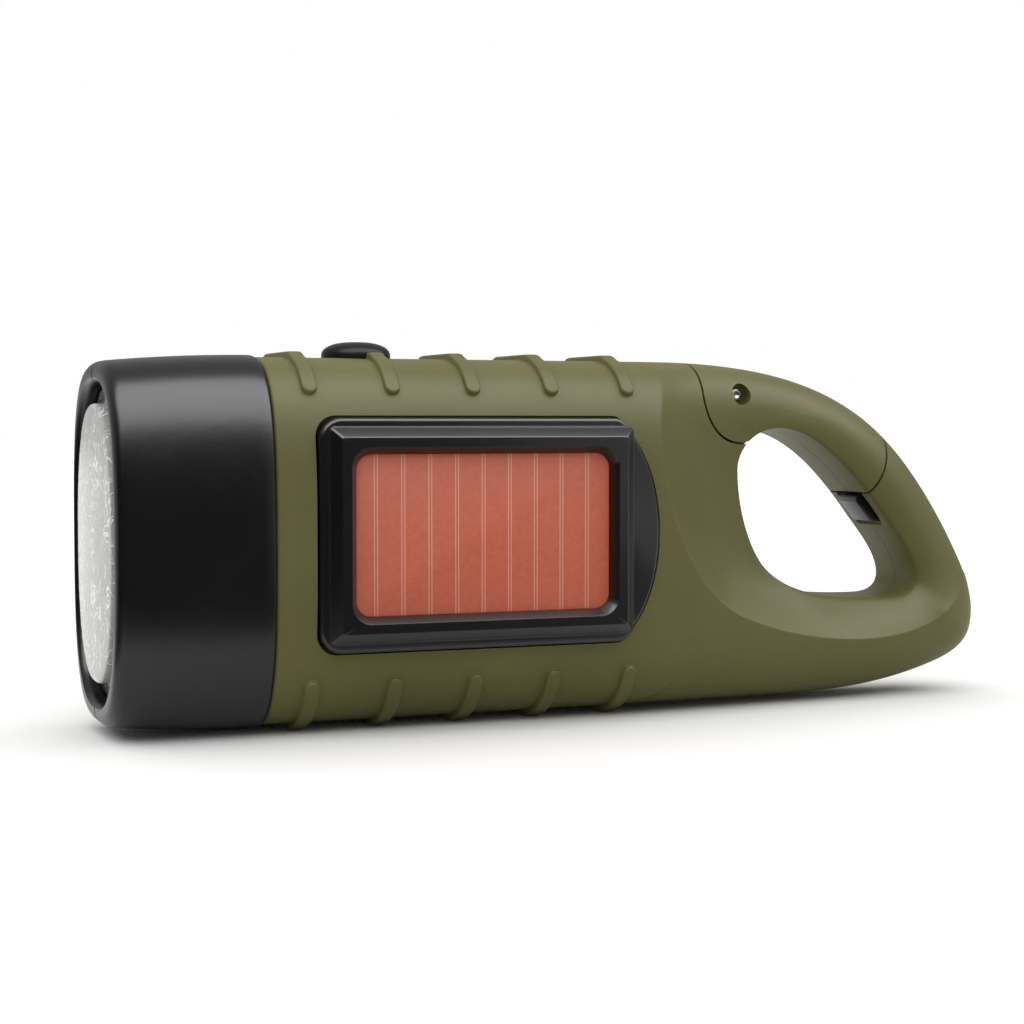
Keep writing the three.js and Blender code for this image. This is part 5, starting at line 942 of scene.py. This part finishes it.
class Finish:
    """The nodes of a material or a world, made by short calls."""

    def __init__(self, name, owner=None):
        self.name, self.owner = name, owner or bpy.data.materials.new(name)
        self.owner.use_nodes = True
        self.tree = self.owner.node_tree
        self.tree.nodes.clear()

    def node(self, kind, settings=None, sockets=None, output=0):
        made = self.tree.nodes.new("ShaderNode" + kind)
        for key, value in (settings or {}).items():
            setattr(made, key, value)
        for key, value in (sockets or {}).items():
            if isinstance(value, Value):
                self.tree.links.new(value.socket, made.inputs[key])
            else:
                made.inputs[key].default_value = value
        return Value(self, made.outputs[output] if len(made.outputs) else None)

    def place(self):
        return self.node("TexCoord", output="Object")

    def noise(self, size, detail, rough=0.5, **more):
        """Noise whose lumps are about a size in millimetres."""
        sockets = {"Vector": self.place(), "Scale": 1000 / size, "Detail": detail,
                   "Roughness": rough, **more}
        return self.node("TexNoise", sockets=sockets)

    def mixed(self, factor, first, second):
        """Two colours mixed. A colour is a value or is written as for screens."""
        first, second = (shade(c) if isinstance(c, str) else c for c in (first, second))
        return self.node("Mix", {"data_type": "RGBA"}, {0: factor, 6: first, 7: second}, output=2)

    def rounded(self, radius):
        """The normal, rounded at the edges by a radius in millimetres."""
        return self.node("Bevel", {"samples": 4}, {"Radius": radius / 1000})

    def edges(self, radius):
        """1 on edges, where a rounded normal leaves the true one. Used for worn edges and painted
        edge highlights.
        """
        same = self.node("VectorMath", {"operation": "DOT_PRODUCT"}, {
            0: self.rounded(radius), 1: self.node("NewGeometry", output="Normal")}, "Value")
        return (1 - same).ramp(0.02, 0.12)

    def bump(self, height, distance, strength, radius=None):
        """A bump of a distance in millimetres, over a normal rounded at the edges."""
        sockets = {"Height": height, "Distance": distance / 1000, "Strength": strength}
        if radius:
            sockets["Normal"] = self.rounded(radius)
        return self.node("Bump", sockets=sockets)

    def surface(self, **sockets):
        named = {key.replace("_", " "): value for key, value in sockets.items()}
        self.output(self.node("BsdfPrincipled", sockets=named))

    def output(self, shader, kind="Material"):
        self.node("Output" + kind, sockets={"Surface": shader})
        finishes[self.name] = self.owner


def shade(hex_color):
    """A colour as it is written for screens, in the linear values that nodes use."""
    values = [int(hex_color[i : i + 2], 16) / 255 for i in (0, 2, 4)]
    linear = [v / 12.92 if v <= 0.04045 else ((v + 0.055) / 1.055) ** 2.4 for v in values]
    return (*linear, 1.0)


finishes = {}

# %% [markdown]
# ## Olive plastic
# The shells are moulded in a satin olive with a very fine spark-eroded grain. Broad noise
# shifts the tone a little. Edges are smoother and painted paler, as wear and painted highlight.
# %% Olive plastic
finish = Finish("olive_plastic")
broad = finish.noise(22, 2)
fine = finish.noise(0.55, 4, 0.6)
mottle = finish.noise(1.6, 3, 0.6)
grain = finish.noise(0.32, 2)
edge_wear_and_highlight = finish.edges(0.3) * finish.noise(3, 3).ramp(0.35, 0.6, 0.35, 1)
colour = finish.mixed(broad.ramp(0.3, 0.7), "66643a", "6c6a3e")
colour = finish.mixed(fine.ramp(0.3, 0.75, 0, 0.14), colour, "524f2c")
# Paler edges: partly wear, partly a painted highlight.
colour = finish.mixed(edge_wear_and_highlight * 0.35, colour, "8f8d66")
rough = 0.36 + broad * 0.06 + fine * 0.08 + mottle * 0.06 - edge_wear_and_highlight * 0.06
finish.surface(Base_Color=colour, Roughness=rough, Specular_IOR_Level=0.2,
               Normal=finish.bump(grain * 0.6 + fine * 0.4 + mottle, 0.02, 0.55, 0.09))

# %% [markdown]
# ## Black plastics and rubber
# The head is satin black with a slight orange peel. The bezel is the same plastic polished.
# The button's rubber has a soft sheen.
# %% Black plastics and rubber
finish = Finish("black_plastic")
peel = finish.noise(1.3, 2)
fine = finish.noise(0.4, 3)
# Edges painted paler grey: partly wear, partly a painted highlight.
colour = finish.mixed(finish.edges(0.3) * 0.3, "0c0c0d", "343436")
colour = finish.mixed(fine.ramp(0.4, 0.8, 0, 0.3), colour, "151517")
rough = 0.25 + finish.noise(9, 2) * 0.07 + fine * 0.05
finish.surface(Base_Color=colour, Roughness=rough, Specular_IOR_Level=0.5,
               Normal=finish.bump(peel + fine * 0.15, 0.02, 0.6, 0.25))

finish = Finish("gloss_black")
# Edges painted paler grey: partly wear, partly a painted highlight.
colour = finish.mixed(finish.edges(0.2) * 0.35, "0e0e10", "3c3c40")
colour = finish.mixed(finish.noise(0.5, 3).ramp(0.5, 0.8, 0, 0.3), colour, "18181b")
rough = 0.26 + finish.noise(7, 3) * 0.08
finish.surface(Base_Color=colour, Roughness=rough, Coat_Weight=0.2, Coat_Roughness=0.1,
               Normal=finish.bump(finish.noise(2.2, 1), 0.004, 0.2, 0.12))

finish = Finish("rubber")
fine = finish.noise(0.22, 3)
colour = finish.mixed(finish.noise(4, 2).ramp(0.3, 0.7), "101012", "17171a")
colour = finish.mixed(fine.ramp(0.55, 0.8, 0, 0.35), colour, "2c2c2e")
finish.surface(Base_Color=colour, Roughness=0.3 + fine * 0.12, Specular_IOR_Level=0.2,
               Normal=finish.bump(fine, 0.02, 0.5, 0.2))

# %% [markdown]
# ## Clear and silvered plastics
# The lens and the lamps are clear, and the reflector is plastic with a vapour-deposited mirror.
# Its surface isn't quite flat, so reflections in it wander. Thin curls of noise on the lens
# are painted glints: white painted into its colour.
# %% Clear and silvered plastics
finish = Finish("clear_plastic")
swirl = finish.noise(4.4, 2.5, 0.55, Distortion=1.4)
# Painted glints: thin white curls painted into the lens's colour, which also make it less clear
# there.
painted_glint = (1 - swirl.apart(0.5).ramp(0.006, 0.022)) * finish.noise(4.5, 1).ramp(0.4, 0.52)
dust = finish.noise(1.1, 3, 0.6).ramp(0.4, 0.75)
clear = finish.node("BsdfTransparent", sockets={"Color": (0.97, 0.98, 0.98, 1)})
normal = finish.bump(finish.noise(5, 2), 0.03, 0.4)
colour = finish.mixed(painted_glint, finish.mixed(dust, "d6d7d3", "ecede9"), "ffffff")
gloss = finish.node("BsdfPrincipled", sockets={
    "Base Color": colour, "Roughness": 0.16 + dust * 0.15, "Normal": normal})
facing = finish.node("Fresnel", sockets={"IOR": 1.5, "Normal": normal})
share = facing * 1.2 + 0.32 + painted_glint * 0.45
finish.output(finish.node("MixShader", sockets={0: share, 1: clear, 2: gloss}))

finish = Finish("lamp_resin")
cloud = finish.noise(1.5, 2)
finish.surface(Base_Color=finish.mixed(cloud, "f2f3ee", "e2e6ea"), Coat_Weight=0.5,
               Roughness=0.08 + cloud * 0.06, Normal=finish.bump(cloud, 0.01, 0.3))

finish = Finish("silvered_plastic")
wave = finish.noise(2.4, 2, 0.6, Distortion=1.5)
finish.surface(Base_Color=finish.mixed(wave, "e6e8e8", "c9cccc"), Metallic=1.0,
               Roughness=0.05 + finish.noise(0.5, 2) * 0.1, Normal=finish.bump(wave, 0.4, 0.35))

# %% [markdown]
# ## Solar cell
# The cell is printed in a terracotta tone under a clear sheet. Nine pairs of pale lines cross
# it, a pitch apart, and its crystals give it a faint mottle.
# %% Solar cell
LINE_FIRST, LINE_PITCH, LINE_HALF_GAP = 34.8, 3.875, 0.21

finish = Finish("cell")
split = finish.node("SeparateXYZ", sockets={0: finish.place()})
x = split * 1000 + float(ORIGIN[0])
phase = finish.node("Math", {"operation": "WRAP"},
                    {0: x - (LINE_FIRST - LINE_PITCH / 2), 1: LINE_PITCH, 2: 0.0})
line = 1 - phase.apart(LINE_PITCH / 2).apart(LINE_HALF_GAP).ramp(0.05, 0.1)
mottle = finish.noise(0.8, 3)
colour = finish.mixed(mottle.ramp(0.3, 0.7), "cb5f43", "d16547")
colour = finish.mixed(line * 0.75, colour, "e2a893")
finish.surface(Base_Color=colour, Roughness=0.45 + mottle * 0.1, Coat_Weight=0.06,
               Coat_Roughness=0.15, Normal=finish.bump(line, 0.01, 0.3))

# %% [markdown]
# ## Metals, board and inner plastics
# The inner pieces are hardly seen, but each still has its own finish.
# %% Inner finishes
def inner(name, first, second, rough, metal=False):
    """A metal or a plastic with fine noise in its roughness and broad noise in its colour."""
    finish = Finish(name)
    fine, broad = finish.noise(0.6 if metal else 0.5, 3), finish.noise(3 if metal else 6, 2)
    finish.surface(Base_Color=finish.mixed(broad, first, second), Metallic=float(metal),
                   Roughness=rough + fine * (0.15 if metal else 0.12),
                   Normal=finish.bump(fine, 0.01 if metal else 0.015, 0.4, 0.1))


inner("steel", "b9bbbc", "a4a7a9", 0.22, metal=True)
inner("copper", "b8734a", "9c5a36", 0.28, metal=True)
inner("board", "1f5a3a", "2a6a46", 0.4)
inner("white_plastic", "e6e4da", "dcd9cc", 0.4)
inner("battery_sleeve", "2f7a4a", "2a6d43", 0.35)

pieces = [(item, slots[name]) for name, item in nodes.items()]
pieces += [(item, item["finish"]) for item in bpy.data.objects if "finish" in item]
for item, name in pieces:
    item.data.materials.clear()
    item.data.materials.append(finishes[name])
print(len(finishes), "finishes")

# %% [markdown]
# ## Table and light
# The table and what is behind it are white. Light comes from a wide softbox overhead, which
# reflections don't show, and from dimmer surroundings. Two sheets are seen in reflections only:
# a dark cloth in front and behind the camera keeps black plastic black, and a bright card
# overhead draws the band along it.
# %% Table and light
CLOTH_LEVEL, CLOTH_TOP, CARD_LEVEL = 0.0006, 0.3, 1
CARD_LIGHT, SKY_LIGHT, SUN_LIGHT = 5.6, 0.43, 2.45


def sheet(name, finish, rows, hidden=True):
    """A thin sheet through rows of points. A hidden one is seen in reflections only."""
    mesh = bpy.data.meshes.new(name)
    faces = grid_faces(len(rows), len(rows[0]))
    mesh.from_pydata([point for row in rows for point in row], [], faces)
    mesh.materials.append(finishes[finish])
    made = linked(name, mesh)
    for ray in ("camera", "diffuse", "transmission", "shadow") if hidden else ():
        setattr(made, "visible_" + ray, False)
    return made


white = Finish("white_table")
bounced = white.node("LightPath", output="Is Diffuse Ray")
colour = white.mixed(bounced, (0.96, 0.96, 0.95, 1), (0.62, 0.62, 0.6, 1))
white.output(white.node("BsdfDiffuse", sockets={"Color": colour}))
table = sheet("table", "white_table", [[(x, y, 0) for x in (-6, 6)] for y in (-6, 6)], False)

dark = Finish("dark_cloth")
dark.output(dark.node("BsdfDiffuse", sockets={"Color": (0.01, 0.01, 0.01, 1)}))
near_line = [(0.12, -0.055), (-0.1, -0.055), (-0.1, 0.02)]
far_line = [(0.18, -0.5), (-0.6, -0.5), (-0.6, 0.02)]
cloth = sheet("dark_cloth", "dark_cloth", [[(x, y, z) for x, y in line] for line, z in (
    (near_line, CLOTH_LEVEL), (far_line, CLOTH_LEVEL), (far_line, CLOTH_TOP))])

bright = Finish("bright_card")
bright.output(bright.node("Emission", sockets={"Strength": CARD_LIGHT}))
card = sheet("bright_card", "bright_card", [[(x, y, CARD_LEVEL) for x in (-1.2, 2)]
                                            for y in (-1.4, -0.05)])

world = bpy.data.worlds.new("studio")
bpy.context.scene.world = world
sky = Finish("studio", world)
seen = sky.node("LightPath", output="Is Camera Ray")
seen = seen.larger(sky.node("LightPath", output="Is Transmission Ray"))
strength = sky.node("MapRange", sockets={"Value": seen, "To Min": SKY_LIGHT, "To Max": 1.0})
sky.output(sky.node("Background", sockets={"Color": (1, 1, 1, 1), "Strength": strength}), "World")

sun_data = bpy.data.lights.new("softbox", "SUN")
sun_data.energy = SUN_LIGHT
sun_data.angle = math.radians(115)
sun = linked("softbox", sun_data)
sun.rotation_euler = Vector((0.08, 0.0, -0.99)).to_track_quat("-Z", "Y").to_euler()
sun.visible_glossy = False

bpy.context.scene.view_settings.view_transform = "Standard"
